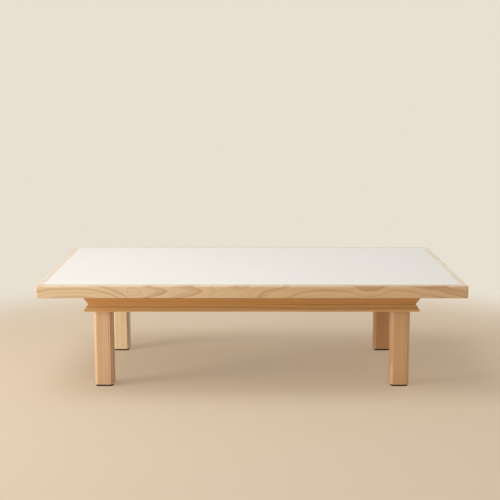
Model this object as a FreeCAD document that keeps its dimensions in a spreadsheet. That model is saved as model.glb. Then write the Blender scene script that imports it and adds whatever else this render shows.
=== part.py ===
import FreeCAD, Part
import math
import os

import Sketcher

# A kotatsu: a low table whose loose top lifts off its underframe, so that a quilt can lie between
# the two, with a fan heater hung from the rails of the underframe.
# The origin is on the floor at the middle of the footprint. X runs along the table, -Y is the front
# and Z is up. Lengths are in millimetres.

SIZES = {
    # The whole table
    "table_length": 1500,
    "table_depth": 900,
    "table_height": 400,
    # Tabletop: a hollow board with a solid edging
    "top_thickness": 45,
    "edging_width": 25,
    "top_corner_radius": 5,
    "top_arris_radius": 6,
    "lower_arris_radius": 3,
    "laminate_thickness": 1,
    "skin_thickness": 3,
    "core_rail_width": 40,
    "core_batten_width": 36,
    "cell_wall": 1.2,
    # Aprons, set back from the edges of the top, with a V groove along their outer faces
    "end_overhang": 149,
    "front_overhang": 116,
    "apron_height": 70,
    "apron_thickness": 30,
    "groove_depth": 13.5,
    "groove_half_height": 21,
    "groove_rise": 26,
    "apron_arris_radius": 1.5,
    "rest_pad_thickness": 2,
    "rest_pad_radius": 11,
    "rest_pad_inset": 62,
    # Legs and the blocks that draw them into the corners
    "leg_width": 67,
    "leg_bevel": 9,
    "leg_arris_radius": 1.5,
    "leg_foot_arris_radius": 1,
    "leg_top_drop": 8,
    "leg_flat_cut": 14,
    "leg_flat_margin": 3,
    "foot_pad_thickness": 6,
    "foot_pad_inset": 3,
    "block_thickness": 26,
    "block_height": 54,
    "draw_gap": 3,
    # Leg bolts
    "bolt_radius": 4,
    "bolt_grip": 42,
    "bolt_point": 6,
    "bolt_spacing": 28,
    "bolt_tip": 5,
    "bolt_clearance": 0.5,
    "washer_radius": 9,
    "washer_thickness": 1.6,
    "nut_radius": 7.4,
    "nut_thickness": 6.5,
    "thread_clearance": 0.1,
    "pilot_spare": 1,
    # Screws of the corner blocks
    "block_screw_radius": 2,
    "block_screw_grip": 16,
    "block_screw_seat": 8,
    "block_screw_head_radius": 4,
    "block_screw_head_thickness": 2.5,
    "counterbore_clearance": 0.8,
    # Rails and slats across the underframe
    "rail_width": 40,
    "rail_height": 30,
    "rail_housing": 8,
    "rail_fit": 0.2,
    "heater_rail_distance": 155,
    "quilt_rail_inset": 196,
    "slat_width": 22,
    "slat_thickness": 12,
    "slat_pitch": 95,
    "slat_housing": 6,
    # Heater housing
    "heater_width": 290,
    "heater_height": 52,
    "heater_wall": 1,
    "heater_corner_radius": 10,
    "heater_flange_width": 16,
    "ear_width": 30,
    "ear_reach": 9,
    "ear_pitch": 190,
    "vent_width": 4,
    "vent_height": 20,
    "vent_pitch": 14,
    "heater_screw_radius": 1.9,
    "heater_screw_grip": 20,
    "heater_screw_head_radius": 4,
    "heater_screw_head_thickness": 2.4,
    # Reflector: a folded sheet with a trough over each tube
    "reflector_length": 270,
    "reflector_width": 236,
    "reflector_drop": 24,
    "reflector_sheet": 0.8,
    "trough_half_width": 22,
    "trough_rise": 8,
    "fan_hole_radius": 47,
    "wire_hole_radius": 3,
    # Quartz tubes and what holds them
    "tube_distance": 75,
    "tube_drop": 6,
    "tube_radius": 6,
    "tube_wall": 1,
    "tube_length": 230,
    "coil_radius": 2.5,
    "cap_radius": 8,
    "cap_length": 14,
    "cap_overlap": 10,
    "bracket_width": 24,
    "bracket_thickness": 1,
    "bracket_foot": 11,
    "cap_fit": 0.1,
    # Fan and motor
    "motor_radius": 23,
    "motor_height": 18,
    "motor_screw_distance": 15,
    "motor_screw_radius": 1.5,
    "motor_screw_grip": 6,
    "motor_screw_head_radius": 3,
    "motor_screw_head_thickness": 1.8,
    "shaft_radius": 2,
    "shaft_reach": 12,
    "shaft_gap": 0.3,
    "hub_radius": 12,
    "hub_height": 14,
    "hub_gap": 4,
    "hub_fit": 0.05,
    "blade_reach": 43,
    "blade_width": 26,
    "blade_thickness": 1.5,
    # Controls inside the housing
    "sensor_distance": 95,
    "thermostat_radius": 9,
    "thermostat_height": 9,
    "fuse_length": 22,
    "fuse_width": 10,
    "fuse_height": 7,
    "terminal_length": 40,
    "terminal_width": 18,
    "terminal_height": 14,
    "terminal_wall_gap": 2,
    "wire_radius": 1.2,
    "wire_bend": 5,
    "wire_spacing": 3.5,
    "wire_wall_gap": 14,
    # Inlet for a detachable lead
    "inlet_distance": 90,
    "inlet_drop": 26,
    "inlet_width": 34,
    "inlet_height": 20,
    "inlet_depth": 22,
    "inlet_lip": 3,
    "inlet_lip_thickness": 2.5,
    "inlet_wall": 3.2,
    "inlet_recess": 17,
    "inlet_fit": 0.2,
    "inlet_pin_radius": 2,
    "inlet_pin_pitch": 9,
    "inlet_pin_length": 11,
    "inlet_pin_tail": 2,
    # Guard under the tubes
    "rim_width": 300,
    "rim_height": 8,
    "rim_corner_radius": 12,
    "rim_opening": 256,
    "rim_fit": 0.4,
    "grille_width": 266,
    "grille_thickness": 1.2,
    "slot_width": 5,
    "slot_pitch": 9,
    "slot_side": 7,
    "slot_middle": 6,
    "guard_screw_inset": 6.5,
    "guard_screw_radius": 1.5,
    "guard_screw_reach": 4,
    "guard_screw_head_radius": 3,
    "guard_screw_head_thickness": 2,
    # How far a cut runs past what it cuts
    "overrun": 1,
}

CORE_BATTENS = 3
CELL_ROWS = 12
CELL_COLUMNS = 7
SLATS = 5
VENTS = 8
BLADES = 5
SLOTS = 27
BLADE_PITCH_DEGREES = 30
FULL_TURN_DEGREES = 360
INWARD_DEGREES = 135
HEXAGON = 6
ROOT_TWO = math.sqrt(2)
ROOT_THREE = math.sqrt(3)
SAME = 1e-3

# Each corner of the underframe, with the signs of its x and y.
CORNERS = {
    "front_left": (-1, -1),
    "front_right": (1, -1),
    "rear_right": (1, 1),
    "rear_left": (-1, 1),
}


class Size:
    """A length: the formula that gives it from the sheet, and what it comes to."""

    def __init__(self, formula, value):
        self.formula = formula
        self.value = value

    def __add__(self, other):
        return Size(f"({self.formula} + {other.formula})", self.value + other.value)

    def __sub__(self, other):
        return Size(f"({self.formula} - {other.formula})", self.value - other.value)

    def __mul__(self, number):
        return Size(f"({self.formula} * {number})", self.value * number)

    __rmul__ = __mul__

    def __truediv__(self, number):
        return Size(f"({self.formula} / {number})", self.value / number)

    def __neg__(self):
        return self * -1


class Sheet:
    """The spreadsheet of driving sizes, each also held here as a Size."""

    def __init__(self, document, sizes):
        cells = document.addObject("Spreadsheet::Sheet", "Sizes")
        for row, (name, number) in enumerate(sizes.items(), start=1):
            cells.set(f"A{row}", name)
            cells.set(f"B{row}", str(number))
            cells.setAlias(f"B{row}", name)
            setattr(self, name, Size(f"Sizes.{name}", float(number)))


doc = FreeCAD.newDocument("Kotatsu")
s = Sheet(doc, SIZES)
ZERO = Size("0", 0.0)
parts = []

# Lengths, heights and half widths that several pieces share.
underframe_length = s.table_length - 2 * s.end_overhang
underframe_depth = s.table_depth - 2 * s.front_overhang
apron_top = s.table_height - s.top_thickness - s.rest_pad_thickness
apron_bottom = apron_top - s.apron_height
inner_half_length = underframe_length / 2 - s.apron_thickness
inner_half_depth = underframe_depth / 2 - s.apron_thickness
quilt_rail_distance = inner_half_length - s.quilt_rail_inset
leg_top = apron_top - s.leg_top_drop
block_outer = 2 * s.leg_width - s.leg_flat_cut + s.draw_gap * ROOT_TWO
block_inner = block_outer + s.block_thickness * ROOT_TWO
block_screw_along = (block_outer + block_inner) / 2
block_middle = leg_top - s.block_height / 2
heater_top = apron_top - s.rail_height
heater_bottom = heater_top - s.heater_height
heater_roof = heater_top - s.heater_wall
reflector_face = heater_roof - s.reflector_drop
tube_level = reflector_face - s.tube_drop
wire_level = heater_roof - s.terminal_height / 2
wire_line = s.heater_width / 2 - s.wire_wall_gap


# Helpers for placing, sketching, padding and cutting


def keep(piece):
    """Adds a finished sub-part to those that are written."""
    parts.append(piece)
    return piece


def place(piece, x=ZERO, y=ZERO, z=ZERO, turn=0, direction=None):
    """Moves a piece, turned about Z by degrees or with its own Z along a direction."""
    upright = FreeCAD.Vector(0, 0, 1)
    if direction:
        rotation = FreeCAD.Rotation(upright, FreeCAD.Vector(*direction))
    else:
        rotation = FreeCAD.Rotation(upright, turn)
    piece.Placement = FreeCAD.Placement(FreeCAD.Vector(x.value, y.value, z.value), rotation)
    for letter, size in zip("xyz", (x, y, z)):
        piece.setExpression(f"Placement.Base.{letter}", size.formula)
    return piece


def bind(piece, **sizes):
    """Binds each named property of a document object to its size."""
    for name, size in sizes.items():
        piece.setExpression(name, size.formula)
    return piece


def sketch_on(body, plane="XY_Plane", x=ZERO, y=ZERO, z=ZERO, turn=0):
    """A sketch on a body's own origin plane, shifted and turned in that plane's own axes."""
    sketch = body.newObject("Sketcher::SketchObject", body.Name + "_sketch")
    support = next(item for item in body.Origin.OriginFeatures if item.Role == plane)
    sketch.AttachmentSupport = [(support, "")]
    sketch.MapMode = "FlatFace"
    rotation = FreeCAD.Rotation(FreeCAD.Vector(0, 1, 0), turn)
    sketch.AttachmentOffset = FreeCAD.Placement(FreeCAD.Vector(0, 0, 0), rotation)
    for letter, size in zip("xyz", (x, y, z)):
        sketch.setExpression(f"AttachmentOffset.Base.{letter}", size.formula)
    return sketch


def pin(sketch, item, point, x, y):
    """Fixes one point of a sketch at (x, y) from the sketch's origin."""
    for kind, size, axis in (("DistanceX", x, -2), ("DistanceY", y, -1)):
        if size is ZERO:
            sketch.addConstraint(Sketcher.Constraint("PointOnObject", item, point, axis))
            continue
        limit = Sketcher.Constraint(kind, -1, 1, item, point, size.value)
        index = sketch.addConstraint(limit)
        sketch.setExpression(f"Constraints[{index}]", size.formula)


def add_outline(sketch, points):
    """Adds a closed outline of straight lines through (x, y) sizes."""
    first = sketch.GeometryCount
    corners = [FreeCAD.Vector(x.value, y.value, 0) for x, y in points]
    for index, corner in enumerate(corners):
        sketch.addGeometry(Part.LineSegment(corner, corners[(index + 1) % len(corners)]), False)
    for index in range(len(corners)):
        following = first + (index + 1) % len(corners)
        sketch.addConstraint(Sketcher.Constraint("Coincident", first + index, 2, following, 1))
    for index, (x, y) in enumerate(points):
        pin(sketch, first + index, 1, x, y)


def add_rectangle(sketch, x_low, y_low, x_high, y_high):
    """Adds a rectangle between two opposite corners."""
    add_outline(sketch, [(x_low, y_low), (x_high, y_low), (x_high, y_high), (x_low, y_high)])


def add_circle(sketch, x, y, radius):
    """Adds a circle of a given centre and radius."""
    centre = FreeCAD.Vector(x.value, y.value, 0)
    circle = Part.Circle(centre, FreeCAD.Vector(0, 0, 1), radius.value)
    item = sketch.addGeometry(circle, False)
    pin(sketch, item, 3, x, y)
    index = sketch.addConstraint(Sketcher.Constraint("Radius", item, radius.value))
    sketch.setExpression(f"Constraints[{index}]", radius.formula)


def pad(body, sketch, length, reverse=False):
    """Pads a sketch along its normal, or against it."""
    feature = body.newObject("PartDesign::Pad", body.Name + "_pad")
    feature.Profile = (sketch, [""])
    feature.Reversed = reverse
    bind(feature, Length=length)
    doc.recompute()
    return feature


def pocket(body, sketch, depth, reverse=False):
    """Cuts a sketch against its normal, or along it, and makes sure that it removes something."""
    before = body.Shape.Volume
    feature = body.newObject("PartDesign::Pocket", body.Name + "_pocket")
    feature.Profile = (sketch, [""])
    feature.Reversed = reverse
    bind(feature, Length=depth)
    doc.recompute()
    if body.Shape.Volume > before - SAME:
        raise RuntimeError(f"{feature.Label} removes nothing")
    return feature


def dress_edges(body, kind, chosen, **size):
    """Adds a feature on each edge of the body so far for which chosen(edge) is true."""
    edges = enumerate(body.Tip.Shape.Edges, start=1)
    names = [f"Edge{index}" for index, edge in edges if chosen(edge)]
    base = body.Tip
    feature = body.newObject("PartDesign::" + kind, f"{body.Name}_{kind}")
    feature.Base = (base, names)
    bind(feature, **size)
    doc.recompute()


def round_edges(body, radius, chosen):
    """Rounds the chosen edges of a body."""
    dress_edges(body, "Fillet", chosen, Radius=radius)


def bevel_edges(body, size, chosen):
    """Bevels the chosen edges of a body."""
    dress_edges(body, "Chamfer", chosen, Size=size)


def is_upright(edge):
    """Whether an edge runs straight up."""
    return edge.BoundBox.XLength < SAME and edge.BoundBox.YLength < SAME


def at_level(level):
    """A test for edges that lie flat at a height."""
    def lies_there(edge):
        box = edge.BoundBox
        return abs(box.ZMin - level.value) < SAME and abs(box.ZMax - level.value) < SAME
    return lies_there


def new_body(label):
    """A body for one sub-part."""
    return doc.addObject("PartDesign::Body", label)


def plate(label, x_low, y_low, x_high, y_high, thickness):
    """A body that starts as a rectangle padded up from its own z of zero."""
    body = new_body(label)
    sketch = sketch_on(body)
    add_rectangle(sketch, x_low, y_low, x_high, y_high)
    pad(body, sketch, thickness)
    return body


def board(label, x, y, z, length, width, thickness):
    """A plain board with one corner at (x, y, z)."""
    return place(plate(label, ZERO, ZERO, length, width, thickness), x, y, z)


def block(name, x, y, z, length, width, height):
    """A plain block for use in a group."""
    piece = doc.addObject("Part::Box", name)
    bind(piece, Length=length, Width=width, Height=height)
    return place(piece, x, y, z)


def cylinder(name, radius, height):
    """A cylinder standing on its own origin."""
    return bind(doc.addObject("Part::Cylinder", name), Radius=radius, Height=height)


def joined(name, base, tool):
    """One solid of two that touch or overlap."""
    piece = doc.addObject("Part::Fuse", name)
    piece.Base = base
    piece.Tool = tool
    return piece


def cut(name, base, tool):
    """A solid less another."""
    piece = doc.addObject("Part::Cut", name)
    piece.Base = base
    piece.Tool = tool
    return piece


def group(label, pieces):
    """Separate solids of one kind that share a sub-part."""
    piece = doc.addObject("Part::Compound", label)
    piece.Links = pieces
    return keep(piece)


def tube(name, radius, bore, height):
    """A cylinder with a bore right through it."""
    drill = place(cylinder(name + "_drill", bore, height + 2 * s.overrun), z=-s.overrun)
    return cut(name, cylinder(name + "_blank", radius, height), drill)


def screw(name, radius, length, head_radius, head_thickness):
    """A screw that points along its own Z, with the underside of its head at its origin."""
    head = place(cylinder(name + "_head", head_radius, head_thickness), z=-head_thickness)
    return joined(name, head, cylinder(name + "_shank", radius, length))


# Tabletop


def edging_blank():
    """The whole ring of edging, from which the four strips are mitred."""
    x, y = s.table_length / 2, s.table_depth / 2
    ring = plate("edging_blank", -x, -y, x, y, s.top_thickness)
    round_edges(ring, s.top_corner_radius, is_upright)
    round_edges(ring, s.top_arris_radius, at_level(s.top_thickness))
    round_edges(ring, s.lower_arris_radius, at_level(ZERO))
    hollow = sketch_on(ring, z=s.top_thickness)
    add_rectangle(hollow, s.edging_width - x, s.edging_width - y, x - s.edging_width, y - s.edging_width)
    pocket(ring, hollow, s.top_thickness)
    return place(ring, z=s.table_height - s.top_thickness)


def edging_strip(label, ring, length, depth, turn):
    """One side of the ring, between the two mitres at its ends."""
    reach = s.edging_width + s.overrun
    wedge = doc.addObject("Part::Wedge", label + "_span")
    bind(
        wedge,
        Xmin=-length / 2 - s.overrun, Xmax=length / 2 + s.overrun,
        X2min=reach - length / 2, X2max=length / 2 - reach,
        Ymin=-depth / 2 - s.overrun, Ymax=reach - depth / 2,
        Zmin=-s.overrun, Zmax=s.table_height + s.overrun,
        Z2min=-s.overrun, Z2max=s.table_height + s.overrun,
    )
    place(wedge, turn=turn)
    strip = doc.addObject("Part::Common", label)
    strip.Base = ring
    strip.Tool = wedge
    keep(strip)


def tabletop():
    """The hollow-core board: edging, laminate, two skins and the core between them."""
    ring = edging_blank()
    edging_strip("edging_front", ring, s.table_length, s.table_depth, 0)
    edging_strip("edging_rear", ring, s.table_length, s.table_depth, 180)
    edging_strip("edging_left", ring, s.table_depth, s.table_length, -90)
    edging_strip("edging_right", ring, s.table_depth, s.table_length, 90)

    length = s.table_length - 2 * s.edging_width
    depth = s.table_depth - 2 * s.edging_width
    x, y = -length / 2, -depth / 2
    lower_face = s.table_height - s.top_thickness
    laminate_face = s.table_height - s.laminate_thickness
    keep(board("top_laminate", x, y, laminate_face, length, depth, s.laminate_thickness))
    upper_skin = laminate_face - s.skin_thickness
    keep(board("upper_skin_board", x, y, upper_skin, length, depth, s.skin_thickness))
    keep(board("lower_skin_board", x, y, lower_face, length, depth, s.skin_thickness))
    table_core(x, y, lower_face + s.skin_thickness, upper_skin, length, depth)


def table_core(x, y, low, high, length, depth):
    """Rails round the edge of the core, battens across it and paper honeycomb in its bays."""
    rail = s.core_rail_width
    height = high - low
    keep(board("core_rail_front", x, y, low, length, rail, height))
    keep(board("core_rail_rear", x, -y - rail, low, length, rail, height))
    keep(board("core_rail_left", x, y + rail, low, rail, depth - 2 * rail, height))
    keep(board("core_rail_right", -x - rail, y + rail, low, rail, depth - 2 * rail, height))
    bays = CORE_BATTENS + 1
    bay = (length - 2 * rail - CORE_BATTENS * s.core_batten_width) / bays
    between = depth - 2 * rail
    sheet = block("comb_sheet", -bay / 2, -between / 2, ZERO, bay, between, height)
    hollows = comb_hollows(bay, between, height)
    battens, panels = [], []
    for index in range(bays):
        start = x + rail + index * (bay + s.core_batten_width)
        panel = cut(f"honeycomb_{index}", sheet, hollows)
        panels.append(place(panel, start + bay / 2, z=low))
        if index < CORE_BATTENS:
            size = (s.core_batten_width, between, height)
            battens.append(block(f"batten_{index}", start + bay, y + rail, low, *size))
    group("core_battens", battens)
    group("honeycomb_panels", panels)


def comb_hollows(width, depth, height):
    """The hollows of the honeycomb in one bay, cut off one wall inside the bay's edges."""
    wall = s.cell_wall
    pitch = (depth - 2 * wall) / CELL_ROWS
    through = height + 2 * s.overrun
    reach = CELL_COLUMNS // 2
    cells = []
    for column in range(-reach, reach + 1):
        rows = CELL_ROWS + 1 - column % 2
        for row in range(rows):
            cell = doc.addObject("Part::Prism", f"cell_{column + reach}_{row}")
            cell.Polygon = HEXAGON
            bind(cell, Circumradius=(pitch - wall) / ROOT_THREE, Height=through)
            across = column * ROOT_THREE / 2 * pitch
            cells.append(place(cell, across, (row - (rows - 1) / 2) * pitch, -s.overrun))
    comb = doc.addObject("Part::Compound", "comb_cells")
    comb.Links = cells
    hollows = doc.addObject("Part::Common", "comb_hollows")
    hollows.Base = block("comb_bounds", wall - width / 2, wall - depth / 2, -s.overrun,
                         width - 2 * wall, depth - 2 * wall, through)
    hollows.Tool = comb
    return hollows


# Underframe


def apron(label, length, x, y, turn, rails):
    """A grooved board, outer face at its own y of zero, mitred at both ends.

    The block screws enter it from inside, and rails gives the middle of each rail housed in it.
    """
    body = new_body(label)
    thickness, height = s.apron_thickness, s.apron_height
    section = sketch_on(body, "YZ_Plane", z=-length / 2)
    add_outline(section, [
        (ZERO, ZERO),
        (thickness, ZERO),
        (thickness, height),
        (ZERO, height),
        (ZERO, s.groove_rise + s.groove_half_height),
        (s.groove_depth, s.groove_rise),
        (ZERO, s.groove_rise - s.groove_half_height),
    ])
    pad(body, section, length)
    round_edges(body, s.apron_arris_radius, is_outer_edge)

    mitres = sketch_on(body, z=height + s.overrun)
    past = thickness + s.overrun
    end = length / 2 + s.overrun
    for side in (-1, 1):
        tip = side * (length / 2 - past)
        add_outline(mitres, [(side * end, -s.overrun), (tip, past), (side * end, past)])
    pocket(body, mitres, height + 2 * s.overrun)

    pilots = sketch_on(body, "XZ_Plane", z=-thickness)
    level = block_middle - apron_bottom
    for side in (-1, 1):
        along = side * (length / 2 - thickness - block_screw_along)
        add_circle(pilots, along, level, s.block_screw_radius + s.thread_clearance)
    pocket(body, pilots, s.block_screw_grip + s.pilot_spare, reverse=True)

    if rails:
        housings = sketch_on(body, z=height + s.overrun)
        half = s.rail_width / 2 + s.rail_fit
        for middle in rails:
            add_rectangle(housings, middle - half, thickness - s.rail_housing, middle + half, past)
        pocket(body, housings, s.rail_height + s.overrun)
    keep(place(body, x, y, apron_bottom, turn))


def is_outer_edge(edge):
    """Whether an edge of a grooved board lies along its outer face."""
    box = edge.BoundBox
    return abs(box.YMin) < SAME and abs(box.YMax) < SAME and box.ZLength < SAME


def aprons():
    """The four mitred aprons; the long ones house the rails."""
    rails = [-quilt_rail_distance, -s.heater_rail_distance, s.heater_rail_distance, quilt_rail_distance]
    length, depth = underframe_length, underframe_depth
    apron("apron_front", length, ZERO, -depth / 2, 0, rails=rails)
    apron("apron_rear", length, ZERO, depth / 2, 180, rails=rails)
    apron("apron_left", depth, -length / 2, ZERO, -90, rails=[])
    apron("apron_right", depth, length / 2, ZERO, 90, rails=[])


def into_corner(body, corner, z):
    """Puts a body, made from the corner's inner edge outwards in x and y, into one corner."""
    side, face = CORNERS[corner]
    turn = math.degrees(math.atan2(face, side)) + INWARD_DEGREES
    return keep(place(body, side * inner_half_length, face * inner_half_depth, z, turn))


def leg(corner):
    """A square leg with bevelled edges, flat on its inner corner where the block draws it in."""
    width = s.leg_width
    length = leg_top - s.foot_pad_thickness
    body = plate("leg_" + corner, ZERO, ZERO, width, width, length)
    bevel_edges(body, s.leg_bevel, is_upright)
    round_edges(body, s.leg_arris_radius, is_upright)
    round_edges(body, s.leg_foot_arris_radius, at_level(ZERO))

    flat = sketch_on(body, z=length + s.overrun)
    past = width + s.overrun
    near = width - s.leg_flat_cut - s.overrun
    add_outline(flat, [(past, near), (past, past), (near, past)])
    pocket(body, flat, s.block_height + s.leg_flat_margin + s.overrun)

    pilots = sketch_on(body, "XZ_Plane", x=width, z=-width, turn=INWARD_DEGREES)
    for side in (-1, 1):
        level = length - s.block_height / 2 + side * s.bolt_spacing / 2
        add_circle(pilots, ZERO, level, s.bolt_radius + s.thread_clearance)
    pocket(body, pilots, s.leg_flat_cut / ROOT_TWO + s.bolt_grip + s.pilot_spare)
    into_corner(body, corner, s.foot_pad_thickness)


def foot_pad(corner):
    """A dark pad under a leg, set in from its faces."""
    low, high = s.foot_pad_inset, s.leg_width - s.foot_pad_inset
    body = plate("foot_pad_" + corner, low, low, high, high, s.foot_pad_thickness)
    bevel_edges(body, s.leg_bevel - s.foot_pad_inset * (2 - ROOT_TWO), is_upright)
    into_corner(body, corner, ZERO)


def corner_block(corner):
    """A hardwood block across a corner, bored for the leg bolts and counterbored for its screws."""
    body = new_body("corner_block_" + corner)
    sketch = sketch_on(body)
    ends = [(block_outer, ZERO), (block_inner, ZERO), (ZERO, block_inner), (ZERO, block_outer)]
    add_outline(sketch, ends)
    pad(body, sketch, s.block_height)

    middle = block_inner / 2 + s.overrun
    bolts = sketch_on(body, "XZ_Plane", x=middle, z=-middle, turn=INWARD_DEGREES)
    for side in (-1, 1):
        level = s.block_height / 2 + side * s.bolt_spacing / 2
        add_circle(bolts, ZERO, level, s.bolt_radius + s.bolt_clearance)
    pocket(body, bolts, s.block_thickness + 2 * ROOT_TWO * s.overrun)

    head = s.block_screw_head_radius + s.counterbore_clearance
    shank = s.block_screw_radius + s.thread_clearance
    for radius, start in ((shank, ZERO), (head, s.block_screw_seat)):
        for plane, side in (("XZ_Plane", -1), ("YZ_Plane", 1)):
            hole = sketch_on(body, plane, z=side * start)
            add_circle(hole, block_screw_along, s.block_height / 2, radius)
            pocket(body, hole, block_inner - block_screw_along, reverse=side > 0)
    into_corner(body, corner, leg_top - s.block_height)


def leg_fasteners():
    """Two hanger bolts, washers and nuts to a leg, and two screws to a corner block."""
    bolts, washers, nuts, screws = [], [], [], []
    leg_flat = (2 * s.leg_width - s.leg_flat_cut) / ROOT_TWO
    nut_seat = block_inner / ROOT_TWO + s.washer_thickness
    bolt_end = nut_seat + s.nut_thickness + s.bolt_tip
    for corner, (side, face) in CORNERS.items():
        for end, row in ((-1, "lower"), (1, "upper")):
            name = f"{corner}_{row}"

            def on_diagonal(piece, distance):
                x = side * (inner_half_length - distance / ROOT_TWO)
                y = face * (inner_half_depth - distance / ROOT_TWO)
                level = block_middle + end * s.bolt_spacing / 2
                return place(piece, x, y, level, direction=(side, face, 0))

            bolts.append(on_diagonal(hanger_bolt(name, bolt_end - leg_flat + s.bolt_grip), bolt_end))
            bore = s.bolt_radius + s.bolt_clearance
            washer = tube(f"washer_{name}", s.washer_radius, bore, s.washer_thickness)
            washers.append(on_diagonal(washer, nut_seat))
            nuts.append(on_diagonal(hexagon_nut(name), nut_seat + s.nut_thickness))
        screws += block_screws(corner, side, face)
    group("leg_bolts", bolts)
    group("leg_washers", washers)
    group("leg_nuts", nuts)
    group("corner_block_screws", screws)


def hanger_bolt(name, length):
    """A bolt threaded for its nut at one end and for wood, to a taper, at the other."""
    shank = cylinder(f"bolt_shank_{name}", s.bolt_radius, length - s.bolt_point)
    taper = doc.addObject("Part::Cone", f"bolt_taper_{name}")
    bind(taper, Radius1=s.bolt_radius, Radius2=s.bolt_radius / 2, Height=s.bolt_point)
    return joined(f"bolt_{name}", shank, place(taper, z=length - s.bolt_point))


def hexagon_nut(name):
    """A nut for a hanger bolt."""
    blank = doc.addObject("Part::Prism", f"nut_blank_{name}")
    blank.Polygon = HEXAGON
    bind(blank, Circumradius=s.nut_radius, Height=s.nut_thickness)
    bore = s.bolt_radius + s.thread_clearance
    drill = cylinder(f"nut_drill_{name}", bore, s.nut_thickness + 2 * s.overrun)
    return cut(f"nut_{name}", blank, place(drill, z=-s.overrun))


def block_screws(corner, side, face):
    """The two screws that hold one corner block to the aprons beside it."""
    seat, along = s.block_screw_seat, block_screw_along
    seats = {
        "long": (inner_half_length - along, inner_half_depth - seat, (0, face, 0)),
        "short": (inner_half_length - seat, inner_half_depth - along, (side, 0, 0)),
    }
    screws = []
    for name, (x, y, direction) in seats.items():
        piece = screw(f"block_screw_{corner}_{name}", s.block_screw_radius, seat + s.block_screw_grip,
                      s.block_screw_head_radius, s.block_screw_head_thickness)
        screws.append(place(piece, side * x, face * y, block_middle, direction=direction))
    return screws


def rail(label, middle, inner_side=0):
    """A rail between the long aprons; a heater rail also houses the slats on its inner side."""
    width = s.rail_width
    length = 2 * (inner_half_depth + s.rail_housing - s.rail_fit)
    body = plate(label, ZERO, ZERO, width, length, s.rail_height)
    if inner_side:
        housings = sketch_on(body, z=s.rail_height + s.overrun)
        near = width / 2 + inner_side * (width / 2 - s.slat_housing)
        far = width / 2 + inner_side * (width / 2 + s.overrun)
        for offset in slat_offsets():
            middle_y = length / 2 + offset
            half = s.slat_width / 2 + s.rail_fit
            add_rectangle(housings, near, middle_y - half, far, middle_y + half)
        pocket(body, housings, s.slat_thickness + s.overrun)
        pilots = sketch_on(body)
        for end in (-1, 1):
            level = length / 2 + end * s.ear_pitch / 2
            add_circle(pilots, width / 2, level, s.heater_screw_radius + s.thread_clearance)
        pocket(body, pilots, s.heater_screw_grip + s.pilot_spare, reverse=True)
    keep(place(body, middle - width / 2, -length / 2, apron_top - s.rail_height))


def slat_offsets():
    """How far the middle of each slat lies from the middle of the table."""
    return [(index - (SLATS - 1) / 2) * s.slat_pitch for index in range(SLATS)]


def rails_and_slats():
    """The two rails that carry the heater, the two that carry the quilt, and the slats."""
    rail("heater_rail_left", -s.heater_rail_distance, inner_side=1)
    rail("heater_rail_right", s.heater_rail_distance, inner_side=-1)
    rail("quilt_rail_left", -quilt_rail_distance)
    rail("quilt_rail_right", quilt_rail_distance)
    half = s.heater_rail_distance - s.rail_width / 2 + s.slat_housing - s.rail_fit
    level = apron_top - s.slat_thickness
    slats = []
    for index, offset in enumerate(slat_offsets()):
        low = offset - s.slat_width / 2
        slats.append(block(f"slat_{index}", -half, low, level, 2 * half, s.slat_width, s.slat_thickness))
    group("lattice_slats", slats)


def rest_pads():
    """Six non-slip pads on the long aprons, on which the tabletop rests."""
    pads = []
    reach = underframe_length / 2 - s.rest_pad_inset
    line = underframe_depth / 2 - s.apron_thickness / 2
    for face in (-1, 1):
        for side in (-1, 0, 1):
            pad_piece = cylinder(f"rest_pad_{face + 1}{side + 1}", s.rest_pad_radius, s.rest_pad_thickness)
            pads.append(place(pad_piece, side * reach, face * line, apron_top))
    group("rest_pads", pads)


def underframe():
    """Everything from the floor to the pads under the tabletop, but for the heater."""
    aprons()
    for corner in CORNERS:
        leg(corner)
        foot_pad(corner)
        corner_block(corner)
    leg_fasteners()
    rails_and_slats()
    rest_pads()


# Heater


def rounded_block(name, width, height, radius, z):
    """A square block with rounded uprights, centred, with its underside at z."""
    half = width / 2
    body = plate(name, -half, -half, half, half, height)
    round_edges(body, radius, is_upright)
    return place(body, z=z)


def add_four_circles(sketch, x, y, radius):
    """Adds a circle at each of (-x, -y), (-x, y), (x, -y) and (x, y)."""
    for side in (-1, 1):
        for face in (-1, 1):
            add_circle(sketch, side * x, face * y, radius)


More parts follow.
